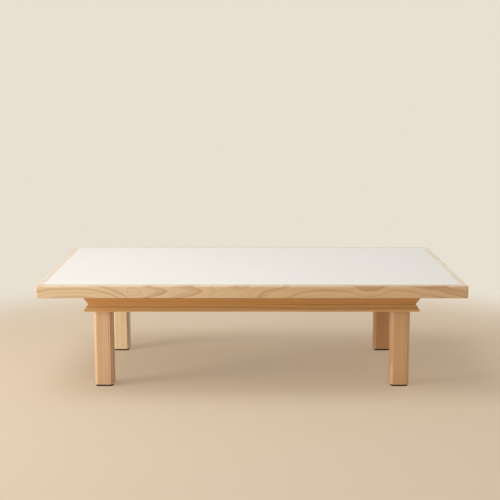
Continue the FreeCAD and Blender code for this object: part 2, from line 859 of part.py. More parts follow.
def heater_housing():
    """A pressed tray, open below, with ears that screw up into the heater rails."""
    half, wall = s.heater_width / 2, s.heater_wall
    shell = rounded_block("housing_shell", s.heater_width, s.heater_height, s.heater_corner_radius,
                          heater_bottom)
    ears = sketch_on(shell, z=s.heater_height)
    ear_end = s.heater_rail_distance + s.ear_reach
    for side in (-1, 1):
        for face in (-1, 1):
            middle = face * s.ear_pitch / 2
            low, high = middle - s.ear_width / 2, middle + s.ear_width / 2
            add_rectangle(ears, side * (half - wall), low, side * ear_end, high)
    pad(shell, ears, wall, reverse=True)

    ear_holes = sketch_on(shell, z=s.heater_height)
    radius = s.heater_screw_radius + s.thread_clearance
    add_four_circles(ear_holes, s.heater_rail_distance, s.ear_pitch / 2, radius)
    pocket(shell, ear_holes, wall)
    motor_holes = sketch_on(shell, z=s.heater_height)
    for side in (-1, 1):
        radius = s.motor_screw_radius + s.thread_clearance
        add_circle(motor_holes, side * s.motor_screw_distance, ZERO, radius)
    pocket(shell, motor_holes, 2 * wall)
    guard_holes = sketch_on(shell)
    reach = half - s.guard_screw_inset
    add_four_circles(guard_holes, reach, reach, s.guard_screw_radius + s.thread_clearance)
    pocket(shell, guard_holes, 2 * wall, reverse=True)
    housing_openings(shell, half, wall)

    cavity = rounded_block("housing_cavity", s.heater_width - 2 * wall, s.heater_height - 2 * wall,
                           s.heater_corner_radius - wall, heater_bottom + wall)
    mouth = rounded_block("housing_mouth", s.heater_width - 2 * s.heater_flange_width,
                          s.overrun + wall + s.overrun, s.heater_corner_radius - wall,
                          heater_bottom - s.overrun)
    keep(cut("heater_housing", cut("housing_tray", shell, cavity), mouth))


def housing_openings(shell, half, wall):
    """The inlet's opening in the rear wall, and a row of air slots in each side wall."""
    inlet = sketch_on(shell, "XZ_Plane", z=-half)
    level = s.heater_height - s.inlet_drop
    reach, rise = s.inlet_width / 2 + s.inlet_fit, s.inlet_height / 2 + s.inlet_fit
    add_rectangle(inlet, s.inlet_distance - reach, level - rise, s.inlet_distance + reach, level + rise)
    pocket(shell, inlet, 2 * wall, reverse=True)
    for side in (-1, 1):
        vents = sketch_on(shell, "YZ_Plane", z=side * half)
        for index in range(VENTS):
            middle = (index - (VENTS - 1) / 2) * s.vent_pitch
            low, high = middle - s.vent_width / 2, middle + s.vent_width / 2
            base = (s.heater_height - s.vent_height) / 2
            add_rectangle(vents, low, base, high, base + s.vent_height)
        pocket(shell, vents, 2 * wall, reverse=side < 0)


def reflector():
    """A folded bright sheet with a trough over each tube, hung from the housing by its flanges."""
    body = new_body("reflector")
    sheet, drop, rise = s.reflector_sheet, s.reflector_drop, s.trough_rise
    half = s.reflector_width / 2
    near, far = s.tube_distance - s.trough_half_width, s.tube_distance + s.trough_half_width
    one_side = [
        (near, ZERO), (near, rise), (far, rise), (far, ZERO),
        (half, ZERO), (half, drop), (half - sheet, drop), (half - sheet, sheet),
        (far + sheet, sheet), (far + sheet, rise + sheet),
        (near - sheet, rise + sheet), (near - sheet, sheet),
    ]
    section = sketch_on(body, "YZ_Plane", z=-s.reflector_length / 2)
    add_outline(section, one_side + [(-y, z) for y, z in reversed(one_side)])
    pad(body, section, s.reflector_length)
    opening = sketch_on(body, z=drop)
    add_circle(opening, ZERO, ZERO, s.fan_hole_radius)
    pocket(body, opening, drop + s.overrun)
    wire_hole = sketch_on(body, "XZ_Plane", z=-half)
    add_circle(wire_hole, ZERO, wire_level - reflector_face, s.wire_hole_radius)
    pocket(body, wire_hole, 2 * sheet, reverse=True)
    keep(place(body, z=reflector_face))


def quartz_tubes():
    """Two quartz tubes with a heating coil in each, held at their ends by caps in brackets."""
    end = s.tube_length / 2
    coils, caps, brackets = [], [], []
    for row, face in (("front", -1), ("rear", 1)):
        line = face * s.tube_distance
        along = {"y": line, "z": tube_level, "direction": (1, 0, 0)}
        glass = tube(f"quartz_tube_{row}", s.tube_radius, s.tube_radius - s.tube_wall, s.tube_length)
        keep(place(glass, -end, **along))
        coils.append(place(cylinder(f"coil_{row}", s.coil_radius, s.tube_length), -end, **along))
        for side in (-1, 1):
            caps.append(end_cap(f"cap_{row}_{side + 1}", side, line))
            brackets.append(tube_bracket(f"bracket_{row}_{side + 1}", side, line))
    group("heating_coils", coils)
    group("tube_end_caps", caps)
    group("tube_brackets", brackets)


def end_cap(name, side, line):
    """A ceramic cup over one end of a tube, open towards the tube."""
    bore = cylinder(name + "_bore", s.tube_radius + s.cap_fit, s.cap_overlap + s.overrun)
    place(bore, z=s.cap_length - s.cap_overlap)
    cup = cut(name, cylinder(name + "_blank", s.cap_radius, s.cap_length), bore)
    closed_end = s.tube_length / 2 + s.cap_length - s.cap_overlap
    return place(cup, side * closed_end, line, tube_level, direction=(-side, 0, 0))


def tube_bracket(name, side, line):
    """A steel plate that hangs from a trough and holds one end cap."""
    middle = side * (s.tube_length / 2 + s.cap_length / 2 - s.cap_overlap)
    start = middle - s.bracket_thickness / 2
    low = tube_level - s.bracket_foot
    upright = block(name + "_blank", start, line - s.bracket_width / 2, low,
                    s.bracket_thickness, s.bracket_width, reflector_face + s.trough_rise - low)
    hole = cylinder(name + "_hole", s.cap_radius + s.cap_fit, s.bracket_thickness + 2 * s.overrun)
    place(hole, start - s.overrun, line, tube_level, direction=(1, 0, 0))
    return cut(name, upright, hole)


def fan_motor():
    """The motor's case under the housing's roof, bored for the shaft and for its two screws."""
    body = new_body("fan_motor")
    case = sketch_on(body)
    add_circle(case, ZERO, ZERO, s.motor_radius)
    pad(body, case, s.motor_height)
    bearing = sketch_on(body)
    add_circle(bearing, ZERO, ZERO, s.shaft_radius + s.shaft_gap)
    pocket(body, bearing, s.shaft_reach + s.shaft_gap, reverse=True)
    pilots = sketch_on(body, z=s.motor_height)
    screws = []
    for side in (-1, 1):
        across = side * s.motor_screw_distance
        add_circle(pilots, across, ZERO, s.motor_screw_radius + s.thread_clearance)
        piece = screw(f"motor_screw_{side + 1}", s.motor_screw_radius, s.heater_wall + s.motor_screw_grip,
                      s.motor_screw_head_radius, s.motor_screw_head_thickness)
        screws.append(place(piece, across, ZERO, heater_top, direction=(0, 0, -1)))
    pocket(body, pilots, s.motor_screw_grip + s.pilot_spare)
    keep(place(body, z=heater_roof - s.motor_height))
    group("motor_screws", screws)


def fan():
    """The fan and its shaft, which turn together about Z."""
    hub_base = heater_roof - s.motor_height - s.hub_gap - s.hub_height
    shaft = cylinder("fan_shaft", s.shaft_radius, s.hub_height + s.hub_gap + s.shaft_reach)
    keep(place(shaft, z=hub_base))
    body = new_body("fan_impeller")
    hub = sketch_on(body)
    add_circle(hub, ZERO, ZERO, s.hub_radius)
    pad(body, hub, s.hub_height)
    section = sketch_on(body, "YZ_Plane", z=s.hub_radius / 2)
    lean = math.radians(BLADE_PITCH_DEGREES)
    width, thickness = s.blade_width / 2, s.blade_thickness / 2
    add_outline(section, [
        (a * width * math.cos(lean) - b * thickness * math.sin(lean),
         s.hub_height / 2 + a * width * math.sin(lean) + b * thickness * math.cos(lean))
        for a, b in ((-1, -1), (1, -1), (1, 1), (-1, 1))
    ])
    blade = pad(body, section, s.blade_reach - s.hub_radius / 2)
    blades = body.newObject("PartDesign::PolarPattern", "blades")
    blades.Originals = [blade]
    blades.Axis = (next(item for item in body.Origin.OriginFeatures if item.Role == "Z_Axis"), [""])
    blades.Angle = FULL_TURN_DEGREES
    blades.Occurrences = BLADES
    body.Tip = blades
    doc.recompute()
    bore = sketch_on(body)
    add_circle(bore, ZERO, ZERO, s.shaft_radius + s.hub_fit)
    pocket(body, bore, s.hub_height, reverse=True)
    keep(place(body, z=hub_base))


def controls():
    """The thermostat and thermal fuse under the reflector, and the terminal block above it."""
    thermostat = cylinder("thermostat", s.thermostat_radius, s.thermostat_height)
    keep(place(thermostat, s.sensor_distance, ZERO, reflector_face - s.thermostat_height))
    keep(block("thermal_fuse", -s.sensor_distance - s.fuse_width / 2, -s.fuse_length / 2,
               reflector_face - s.fuse_height, s.fuse_width, s.fuse_length, s.fuse_height))
    back = s.heater_width / 2 - s.heater_wall - s.terminal_wall_gap
    keep(block("terminal_block", -s.terminal_length / 2, back - s.terminal_width,
               heater_roof - s.terminal_height, s.terminal_length, s.terminal_width, s.terminal_height))


def inlet():
    """The moulded inlet in the rear wall, with three pins in its recess."""
    rear, level = s.heater_width / 2, heater_top - s.inlet_drop
    mouth = rear + s.inlet_lip_thickness
    floor = mouth - s.inlet_recess

    def centred(name, half_width, low, high, half_height):
        return block(name, s.inlet_distance - half_width, low, level - half_height,
                     2 * half_width, high - low, 2 * half_height)

    width, height = s.inlet_width / 2, s.inlet_height / 2
    moulding = joined("inlet_moulding",
                      centred("inlet_body", width, rear - s.inlet_depth, rear, height),
                      centred("inlet_flange", width + s.inlet_lip, rear, mouth, height + s.inlet_lip))
    recess = centred("inlet_recess", width - s.inlet_wall, floor, mouth + s.overrun, height - s.inlet_wall)
    socket = cut("inlet_blank", moulding, recess)
    pins = []
    for index in (-1, 0, 1):
        across = s.inlet_distance + index * s.inlet_pin_pitch
        start = rear - s.inlet_depth - s.inlet_pin_tail
        pin_piece = cylinder(f"inlet_pin_{index + 1}", s.inlet_pin_radius,
                             floor + s.inlet_pin_length - start)
        pins.append(place(pin_piece, across, start, level, direction=(0, 1, 0)))
        drill = cylinder(f"inlet_drill_{index + 1}", s.inlet_pin_radius + s.inlet_fit, floor - start)
        place(drill, across, start, level, direction=(0, 1, 0))
        socket = cut(f"inlet_socket_{index + 1}", socket, drill)
    socket.Label = "inlet_socket"
    keep(socket)
    group("inlet_pins", pins)


def guard():
    """The slotted guard plate under the tubes, and the rim that clamps it to the housing."""
    rim_base = heater_bottom - s.rim_height
    blank = rounded_block("rim_blank", s.rim_width, s.rim_height, s.rim_corner_radius, rim_base)
    reach = s.heater_width / 2 - s.guard_screw_inset
    seat = s.guard_screw_head_thickness + s.overrun
    shank_holes = sketch_on(blank)
    add_four_circles(shank_holes, reach, reach, s.guard_screw_radius + s.thread_clearance)
    pocket(blank, shank_holes, s.rim_height, reverse=True)
    head_holes = sketch_on(blank)
    add_four_circles(head_holes, reach, reach, s.guard_screw_head_radius + s.rim_fit)
    pocket(blank, head_holes, seat, reverse=True)
    opening = rounded_block("rim_opening", s.rim_opening, s.rim_height + 2 * s.overrun,
                            s.rim_corner_radius / 2, rim_base - s.overrun)
    rebate_width = s.grille_width / 2 + s.rim_fit
    rebate = plate("rim_rebate", -rebate_width, -rebate_width, rebate_width, rebate_width,
                   s.grille_thickness + s.overrun)
    place(rebate, z=heater_bottom - s.grille_thickness)
    keep(cut("guard_rim", cut("rim_ring", blank, opening), rebate))
    guard_grille()

    screws = []
    length = s.rim_height - seat + s.heater_wall + s.guard_screw_reach
    for corner, (side, face) in CORNERS.items():
        piece = screw(f"guard_screw_{corner}", s.guard_screw_radius, length,
                      s.guard_screw_head_radius, s.guard_screw_head_thickness)
        screws.append(place(piece, side * reach, face * reach, rim_base + seat))
    group("guard_screws", screws)


def guard_grille():
    """The guard plate, punched with two columns of slots."""
    half = s.grille_width / 2
    body = plate("guard_grille", -half, -half, half, half, s.grille_thickness)
    slots = sketch_on(body, z=s.grille_thickness)
    first = -(SLOTS - 1) / 2 * s.slot_pitch
    low, high = first - s.slot_width / 2, first + s.slot_width / 2
    for side in (-1, 1):
        add_rectangle(slots, side * s.slot_middle, low, side * (half - s.slot_side), high)
    row = pocket(body, slots, s.grille_thickness)
    rows = body.newObject("PartDesign::LinearPattern", "slot_rows")
    rows.Originals = [row]
    rows.Direction = (slots, ["V_Axis"])
    rows.Occurrences = SLOTS
    bind(rows, Length=s.slot_pitch * (SLOTS - 1))
    body.Tip = rows
    doc.recompute()
    keep(place(body, z=heater_bottom - s.grille_thickness))


def heater_screws():
    """The wood screws that hold the housing's ears to the heater rails."""
    screws = []
    for corner, (side, face) in CORNERS.items():
        piece = screw(f"heater_screw_{corner}", s.heater_screw_radius, s.heater_wall + s.heater_screw_grip,
                      s.heater_screw_head_radius, s.heater_screw_head_thickness)
        screws.append(place(piece, side * s.heater_rail_distance, face * s.ear_pitch / 2, heater_roof))
    group("heater_screws", screws)


def lead(points):
    """One insulated lead along straight runs joined by tangent bends."""
    corners = [FreeCAD.Vector(x.value, y.value, z.value) for x, y, z in points]
    edges = []
    start = corners[0]
    for before, corner, after in zip(corners, corners[1:], corners[2:]):
        to_before = (before - corner).normalize()
        to_after = (after - corner).normalize()
        bisector = (to_before + to_after).normalize()
        half_angle = to_before.getAngle(bisector)
        bend = s.wire_bend.value
        tangent = bend / math.tan(half_angle)
        arc_start, arc_end = corner + to_before * tangent, corner + to_after * tangent
        arc_middle = corner + bisector * (bend / math.sin(half_angle) - bend)
        edges.append(Part.LineSegment(start, arc_start).toShape())
        edges.append(Part.Arc(arc_start, arc_middle, arc_end).toShape())
        start = arc_end
    edges.append(Part.LineSegment(start, corners[-1]).toShape())
    circle = Part.Circle(corners[0], corners[1] - corners[0], s.wire_radius.value)
    return Part.Wire(edges).makePipeShell([Part.Wire(circle.toShape())], True, False)


def lead_wires():
    """The leads from the inlet to the terminal block, and on to the motor and the tubes."""
    inlet_side = s.inlet_distance - s.inlet_width / 2
    inlet_level = heater_top - s.inlet_drop
    block_end = s.terminal_length / 2
    step = (inlet_side + block_end) / 2
    tube_end = s.tube_length / 2 + s.cap_length - s.cap_overlap
    turn = tube_end + 2 * s.wire_bend
    upper, lower = tube_level + s.wire_spacing, tube_level - s.wire_spacing
    leads = []
    for face in (-1, 1):
        y = wire_line + face * s.wire_spacing / 2
        leads.append(lead([(inlet_side, y, inlet_level), (step, y, inlet_level),
                           (step, y, wire_level), (block_end, y, wire_level)]))
    back = wire_line + 2 * s.wire_spacing
    for side in (-1, 1):
        x = side * turn
        leads.append(lead([(side * block_end, back, wire_level), (x, back, wire_level),
                           (x, back, upper), (x, s.tube_distance, upper),
                           (side * tube_end, s.tube_distance, upper)]))
        leads.append(lead([(side * tube_end, s.tube_distance, lower), (x, s.tube_distance, lower),
                           (x, -s.tube_distance, lower), (side * tube_end, -s.tube_distance, lower)]))
    terminal_face = s.heater_width / 2 - s.heater_wall - s.terminal_wall_gap - s.terminal_width
    leads.append(lead([(ZERO, terminal_face, wire_level), (ZERO, s.motor_radius, wire_level)]))
    piece = doc.addObject("Part::Feature", "lead_wires")
    piece.Shape = Part.makeCompound(leads)
    keep(piece)


def heater():
    """The fan heater that hangs from the heater rails."""
    heater_housing()
    reflector()
    quartz_tubes()
    fan_motor()
    fan()
    controls()
    inlet()
    guard()
    heater_screws()
    lead_wires()


# The whole table


def write_parts():
    """Checks every object and shape, then writes each sub-part to its own file."""
    doc.recompute()
    failed = [item.Label for item in doc.Objects if {"Invalid", "Error"} & set(item.State)]
    if failed:
        raise RuntimeError(f"failed objects: {failed}")
    for piece in parts:
        if piece.Shape.isNull() or not piece.Shape.isValid():
            raise RuntimeError(f"{piece.Label} has no sound shape")
    os.makedirs("parts", exist_ok=True)
    for piece in parts:
        piece.Shape.exportStep(f"parts/{piece.Label}.step")
    print(len(parts), "sub-parts written")


tabletop()
underframe()
heater()
write_parts()
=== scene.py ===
"""The looks of a kotatsu table: its finishes, its small fittings, the studio and the camera."""

import functools
import logging
import math
from dataclasses import dataclass
from enum import Enum
from types import MappingProxyType
from typing import Callable, Iterable, Mapping, Sequence, Union

import bmesh
import bpy
from mathutils import Matrix, Vector


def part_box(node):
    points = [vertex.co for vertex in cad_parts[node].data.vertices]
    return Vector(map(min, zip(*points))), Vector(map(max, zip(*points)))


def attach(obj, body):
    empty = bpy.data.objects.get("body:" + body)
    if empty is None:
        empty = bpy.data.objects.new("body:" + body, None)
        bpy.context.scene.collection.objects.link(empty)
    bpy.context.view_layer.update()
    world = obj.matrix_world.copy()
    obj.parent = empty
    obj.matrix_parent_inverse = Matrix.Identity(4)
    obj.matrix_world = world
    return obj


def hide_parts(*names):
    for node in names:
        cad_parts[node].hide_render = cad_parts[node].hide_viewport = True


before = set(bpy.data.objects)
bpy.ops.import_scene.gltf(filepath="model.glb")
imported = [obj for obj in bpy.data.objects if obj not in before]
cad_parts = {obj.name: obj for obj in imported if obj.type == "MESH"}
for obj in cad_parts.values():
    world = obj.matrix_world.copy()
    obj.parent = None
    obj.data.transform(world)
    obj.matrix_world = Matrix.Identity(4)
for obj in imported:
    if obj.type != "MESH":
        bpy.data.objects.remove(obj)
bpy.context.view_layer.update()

LOG = logging.getLogger("kotatsu")
FULL_TURN = 2 * math.pi
UP = Vector((0, 0, 1))
NOTHING = MappingProxyType({})
Colour = tuple[float, float, float]
Points = Sequence[tuple[float, float]]
Edges = Iterable[bmesh.types.BMEdge]


class Axis(Enum):
    """The direction that a board's grain or a part's own axis runs in."""

    X = 0
    Y = 1
    Z = 2

    def scales(self, along: float, across: float) -> list[float]:
        """A scale for each axis: one along this axis, another across it."""
        return [along if axis is self else across for axis in Axis]


class Body(Enum):
    """The bodies of the table that new pieces ride on."""

    UNDERFRAME = "underframe"
    FAN = "fan"


# Shader maths


class Shade:
    """A socket of a material's node tree, on which Python's operators add Math nodes."""

    def __init__(self, tree: "Tree", socket: bpy.types.NodeSocket) -> None:
        """Wraps an output socket of a tree."""
        self.tree = tree
        self.socket = socket

    def math(self, operation: str, *values: "Value") -> "Shade":
        """The result of a Math node with these values in its sockets."""
        return self.tree.node("ShaderNodeMath", {"operation": operation}, dict(enumerate(values)))

    def __add__(self, other: "Value") -> "Shade":
        """This plus another."""
        return self.math("ADD", self, other)

    __radd__ = __add__

    def __sub__(self, other: "Value") -> "Shade":
        """This less another."""
        return self.math("SUBTRACT", self, other)

    def __rsub__(self, other: "Value") -> "Shade":
        """Another less this."""
        return self.math("SUBTRACT", other, self)

    def __mul__(self, other: "Value") -> "Shade":
        """This times another."""
        return self.math("MULTIPLY", self, other)

    def __truediv__(self, other: "Value") -> "Shade":
        """This over another."""
        return self.math("DIVIDE", self, other)

    def other(self, output: Union[str, int]) -> "Shade":
        """Another output of the same node."""
        return Shade(self.tree, self.socket.node.outputs[output])

    def fraction(self) -> "Shade":
        """What is left over a whole number."""
        return self.math("FRACT", self)

    def floor(self) -> "Shade":
        """The whole number below this."""
        return self.math("FLOOR", self)

    def root(self) -> "Shade":
        """The square root."""
        return self.math("SQRT", self)

    def step(self, low: float, high: float) -> "Shade":
        """A smooth step from 0 at low to 1 at high, which may be the lower of the two."""
        settings = {"interpolation_type": "SMOOTHSTEP"}
        return self.tree.node("ShaderNodeMapRange", settings, {0: self, 1: low, 2: high})


Value = Union[Shade, float, Sequence[float]]


class Tree:
    """The node tree of one material or world."""

    OBJECT_COORDINATES = 3
    MIX_FACTOR, MIX_A, MIX_B, MIX_RESULT = 0, 6, 7, 2

    def __init__(self, owner: bpy.types.ID, output: str) -> None:
        """Starts the tree anew, with an output and nothing else.

        Args:
            owner: the material or world.
            output: the type of its output node.
        """
        owner.use_nodes = True
        self.material = owner
        self.tree = owner.node_tree
        self.tree.nodes.clear()
        self.output = self.tree.nodes.new(output)

    @classmethod
    def of_material(cls, name: str) -> "Tree":
        """The tree of a new material with this name."""
        return cls(bpy.data.materials.new(name), "ShaderNodeOutputMaterial")

    def end(self, shader: Shade) -> None:
        """Ends the tree in a shader."""
        self.tree.links.new(shader.socket, self.output.inputs["Surface"])

    def feed(self, socket: bpy.types.NodeSocket, value: Value) -> None:
        """Links a Shade to a socket, or sets a number, vector or colour on it.

        Args:
            socket: the input socket.
            value: what goes into it.
        """
        if isinstance(value, Shade):
            self.tree.links.new(value.socket, socket)
        elif socket.type == "RGBA" and len(value) == 3:
            socket.default_value = (*value, 1.0)
        else:
            socket.default_value = value

    def node(self, kind: str, settings: Mapping = NOTHING, sockets: Mapping = NOTHING,
             output: int = 0) -> Shade:
        """Adds one node.

        Args:
            kind: the node's type.
            settings: its properties; "points" gives a curve's.
            sockets: values or links of its input sockets, by name or index.
            output: which of its outputs is wanted.

        Returns:
            That output.
        """
        node = self.tree.nodes.new(kind)
        for name, setting in settings.items():
            if name == "points":
                self._set_points(node.mapping, setting)
            else:
                setattr(node, name, setting)
        for name, value in sockets.items():
            self.feed(node.inputs[name], value)
        return Shade(self, node.outputs[output])

    @staticmethod
    def _set_points(mapping: bpy.types.CurveMapping, points: Points) -> None:
        """Gives a curve its points.

        Args:
            mapping: what holds the curve.
            points: the points, both ends among them.
        """
        curve = mapping.curves[0]
        while len(curve.points) < len(points):
            curve.points.new(0.5, 0.5)
        for point, place in zip(curve.points, points):
            point.location = place
        mapping.update()

    def place(self) -> Shade:
        """Object coordinates, in metres."""
        return self.node("ShaderNodeTexCoord", output=self.OBJECT_COORDINATES)

    def mapped(self, vector: Value, scale: Sequence[float], shift: Sequence[float] = (0, 0, 0)) -> Shade:
        """A vector scaled, then shifted."""
        return self.node("ShaderNodeMapping", {}, {"Vector": vector, "Scale": scale, "Location": shift})

    def noise(self, vector: Value, scale: float, detail: float = 2.0, **more: float) -> Shade:
        """A noise between 0 and 1, read at a vector, with so many octaves as its detail."""
        sockets = {"Vector": vector, "Scale": scale, "Detail": detail, **more}
        return self.node("ShaderNodeTexNoise", {}, sockets)

    def wander(self, along: Shade, rate: float, seed: float) -> Shade:
        """A slow noise of one number, between -0.5 and 0.5, with so many waves to a metre as its rate."""
        sockets = {"W": along + seed, "Scale": rate, "Detail": 1.0}
        return self.node("ShaderNodeTexNoise", {"noise_dimensions": "1D"}, sockets) - 0.5

    def mix(self, factor: Value, first: Value, second: Value) -> Shade:
        """The first colour, with as much of the second as the factor says."""
        sockets = {self.MIX_FACTOR: factor, self.MIX_A: first, self.MIX_B: second}
        return self.node("ShaderNodeMix", {"data_type": "RGBA"}, sockets, self.MIX_RESULT)

    def bump(self, height: Shade, distance: float) -> Shade:
        """A normal from a height, of which 1 stands for a distance in metres."""
        return self.node("ShaderNodeBump", {}, {"Height": height, "Distance": distance, "Strength": 1.0})

    def surface(self, colour: Value, roughness: Value, normal: Shade, **more: Value) -> None:
        """Ends the tree in a Principled surface.

        Args:
            colour: its base colour.
            roughness: its roughness.
            normal: its normal.
            more: other sockets, by name with _ for spaces.
        """
        sockets = {"Base Color": colour, "Roughness": roughness, "Normal": normal}
        sockets.update({name.replace("_", " "): value for name, value in more.items()})
        self.end(self.node("ShaderNodeBsdfPrincipled", {}, sockets))


def linear(level: int) -> float:
    """One channel of a screen colour, from 0 to 255, without the screen's curve."""
    part = level / 255
    return part / 12.92 if part <= 0.04045 else ((part + 0.055) / 1.055) ** 2.4


def srgb(red: int, green: int, blue: int) -> Colour:
    """A colour written as it shows on screen, as Blender wants it."""
    return linear(red), linear(green), linear(blue)


# Finishes


@dataclass(frozen=True)
class Finish:
    """What a surface is finished with; each makes one material."""

    name: str

    @functools.lru_cache(maxsize=None)
    def material(self) -> bpy.types.Material:
        """Makes the finish's material the first time.

        Returns:
            The material.
        """
        tree = Tree.of_material(self.name)
        self.paint(tree)
        return tree.material

    def paint(self, tree: Tree) -> None:
        """Fills a material's tree; each kind of finish has its own way."""
        raise NotImplementedError


@dataclass(frozen=True)
class Wood(Finish):
    """A board sawn from a log: rings round a pith that wanders, fibres along it.

    The across direction is up for a lying board, and depth is the one left. The pith lies at a place across
    and in depth, and rise and sink may give its course along the board. A board may have a band of painted
    light, a paler tone that is all there at the first of two heights across and gone at the second, and
    painted shade, a darker, warmer tone that grows between two places along the board.
    A slant turns the board about Z, in degrees. Lengths are in metres.
    """

    pale: Colour
    dark: Colour
    along: Axis
    pith: tuple[float, float]
    ring: float
    wander: float = 0.010
    waves: float = 1.6
    contrast: float = 0.55
    seed: float = 0.0
    rise: Points = ()
    sink: Points = ()
    # Painted light: a paler band across the board, and the two heights across where it is full and where it
    # is gone
    painted_light_band: Colour = ()
    painted_light_edges: tuple[float, float] = (0.0, 0.0)
    # Painted shade: a darker, warmer tone, and the two places along the board between which it grows
    warm: Colour = ()
    painted_shade_run: tuple[float, float] = (0.0, 0.0)
    fine_rings: float = 0.16
    slant: float = 0.0
    lacquer: float = 0.25
    sheen: float = 0.0

    SPAN = 1.5
    REACH = 0.1
    LATE_COMES = (0.40, 0.90)
    LATE_GOES = (0.91, 1.0)
    FINE_COMES = (0.35, 0.92)
    TONES = (-0.12, 0.95)
    ROSY = (0.98, 0.86, 0.78)
    GRAIN_HEIGHT = 0.00018

    def paint(self, tree: Tree) -> None:
        """Rings, fibres, slow changes of tone, and the board's bands of painted light and shade, if it has
        them.

        Args:
            tree: the tree.
        """
        place = tree.place()
        if self.slant:
            turn = (0.0, 0.0, math.radians(self.slant))
            place = tree.node("ShaderNodeMapping", {}, {"Vector": place, "Rotation": turn})
        run, across, depth = self._turned(tree.node("ShaderNodeSeparateXYZ", {}, {0: place}))
        late = self._late_wood(tree, place, run, across, depth)
        fibres = tree.noise(tree.mapped(place, self.along.scales(22.0, 1500.0)), 0.5, 3.0)
        streaks = tree.noise(tree.mapped(place, self.along.scales(2.2, 150.0), (self.seed, 0, 0)), 0.5)
        cloud = tree.noise(place, 3.2, 1.0, Roughness=0.4)

        shade = late * self.contrast + (fibres - 0.5) * 0.22 + (streaks - 0.5) * 0.45
        pale = self.pale
        # Painted shade, growing darker and warmer along the run
        if self.warm:
            pale = tree.mix(run.step(*self.painted_shade_run), pale, self.warm)
        # Painted light, a paler band with a ragged edge across the board
        if self.painted_light_band:
            ragged = (streaks - 0.5) * (0.6 * abs(self.painted_light_edges[1] - self.painted_light_edges[0]))
            pale = tree.mix((across + ragged).step(*self.painted_light_edges), self.painted_light_band, pale)
        colour = tree.mix(shade.step(*self.TONES), pale, self.dark)
        rosy = tuple(part * factor for part, factor in zip(self.pale, self.ROSY))
        colour = tree.mix((cloud - 0.35) * 0.55 + late * 0.12, colour, rosy)
        roughness = 0.46 + fibres * 0.10 + late * 0.06
        grain = fibres * 0.6 - late * 0.5
        tree.surface(colour, roughness, tree.bump(grain, self.GRAIN_HEIGHT), Coat_Weight=self.lacquer,
                     Coat_Roughness=0.24, Sheen_Weight=self.sheen, Sheen_Roughness=0.35)

    def _turned(self, split: Shade) -> tuple[Shade, Shade, Shade]:
        """Coordinates along the board, across it and into it."""
        x, y, z = (split.other(index) for index in range(3))
        return {Axis.X: (x, z, y), Axis.Y: (y, z, x), Axis.Z: (z, x, y)}[self.along]

    def _late_wood(self, tree: Tree, place: Shade, run: Shade, across: Shade, depth: Shade) -> Shade:
        """The dark end of each ring, more of it in some rings than in others, and three finer ones to a ring.

        Args:
            tree: the tree.
            place: a point of the board.
            run: how far along the board it is.
            across: how far across the board.
            depth: how far into it.

        Returns:
            How much late wood there is, from 0 to about 1.
        """
        height = across - self._course(tree, run, self.rise, self.pith[0], 0.0)
        width = depth - self._course(tree, run, self.sink, self.pith[1], 40.0)
        ripple = tree.noise(tree.mapped(place, self.along.scales(4.0, 110.0), (self.seed,) * 3), 0.35)
        count = ((height * height + width * width).root() + ripple * (0.45 * self.ring)) / self.ring
        turn = count.fraction()
        late = turn.step(*self.LATE_COMES) * (1.0 - turn.step(*self.LATE_GOES))
        number = count.floor() + self.seed
        each = tree.node("ShaderNodeTexWhiteNoise", {"noise_dimensions": "1D"}, {"W": number})
        fine = (count * 3.0).fraction().step(*self.FINE_COMES)
        return late * (each * 0.7 + 0.3) + fine * self.fine_rings

    def _course(self, tree: Tree, run: Shade, course: Points, base: float, seed: float) -> Shade:
        """Where the pith runs: through given points, or wandering slowly about its place.

        Args:
            tree: the tree.
            run: how far along the board.
            course: the points, each a place along the board and how far the pith lies from its base there.
            base: the pith's place.
            seed: what sets this wandering apart from the other direction's.

        Returns:
            The pith's place at this point of the run.
        """
        if not course:
            return tree.wander(run, self.waves, self.seed + seed) * (2 * self.wander) + base
        points = [(x / self.SPAN + 0.5, value / (2 * self.REACH) + 0.5) for x, value in course]
        curve = tree.node("ShaderNodeFloatCurve", {"points": points}, {"Value": run / self.SPAN + 0.5})
        small = tree.wander(run, 9.0, self.seed + seed) * 0.006
        return (curve - 0.5) * (2 * self.REACH) + base + small


@dataclass(frozen=True)
class Laminate(Finish):
    """A satin white melamine sheet with a faint pebble."""

    colour: Colour
    warm: Colour

    def paint(self, tree: Tree) -> None:
        """A close pebble, a slow change of tone and light scuffs in the sheen.

        Args:
            tree: the tree.
        """
        place = tree.place()
        cloud = tree.noise(place, 2.4, 3.0)
        pebble = tree.noise(place, 900.0, 1.0)
        scuffs = tree.noise(tree.mapped(place, (14.0, 60.0, 1.0)), 1.0, 3.0)
        colour = tree.mix(cloud.step(0.3, 0.75), self.colour, self.warm)
        roughness = 0.44 + scuffs.step(0.45, 0.8) * 0.08 + pebble * 0.04
        tree.surface(colour, roughness, tree.bump(pebble, 0.00003), Specular_IOR_Level=0.32)


@dataclass(frozen=True)
class Speckled(Finish):
    """A fine speckle of two tones: board, paper, rubber, mouldings, paint or ceramic.

    The grains are counted to a metre, and their height is in metres.
    """

    pale: Colour
    dark: Colour
    grains: float
    roughness: float
    height: float
    metallic: float = 0.0
    coat: float = 0.0
    contrast: float = 0.5
    mottle: float = 0.6

    def paint(self, tree: Tree) -> None:
        """Speckle, slow mottling and a bump of the same grains.

        Args:
            tree: the tree.
        """
        place = tree.place()
        grains = tree.noise(place, self.grains, 3.0, Roughness=0.6)
        cloud = tree.noise(place, self.grains / 24)
        factor = (grains - 0.5) * self.contrast + (cloud - 0.5) * self.mottle + 0.3
        colour = tree.mix(factor.step(0.0, 0.62), self.pale, self.dark)
        roughness = self.roughness + (grains - 0.5) * 0.14 + (cloud - 0.5) * 0.10
        tree.surface(colour, roughness, tree.bump(grains, self.height), Metallic=self.metallic,
                     Coat_Weight=self.coat, Coat_Roughness=0.2)


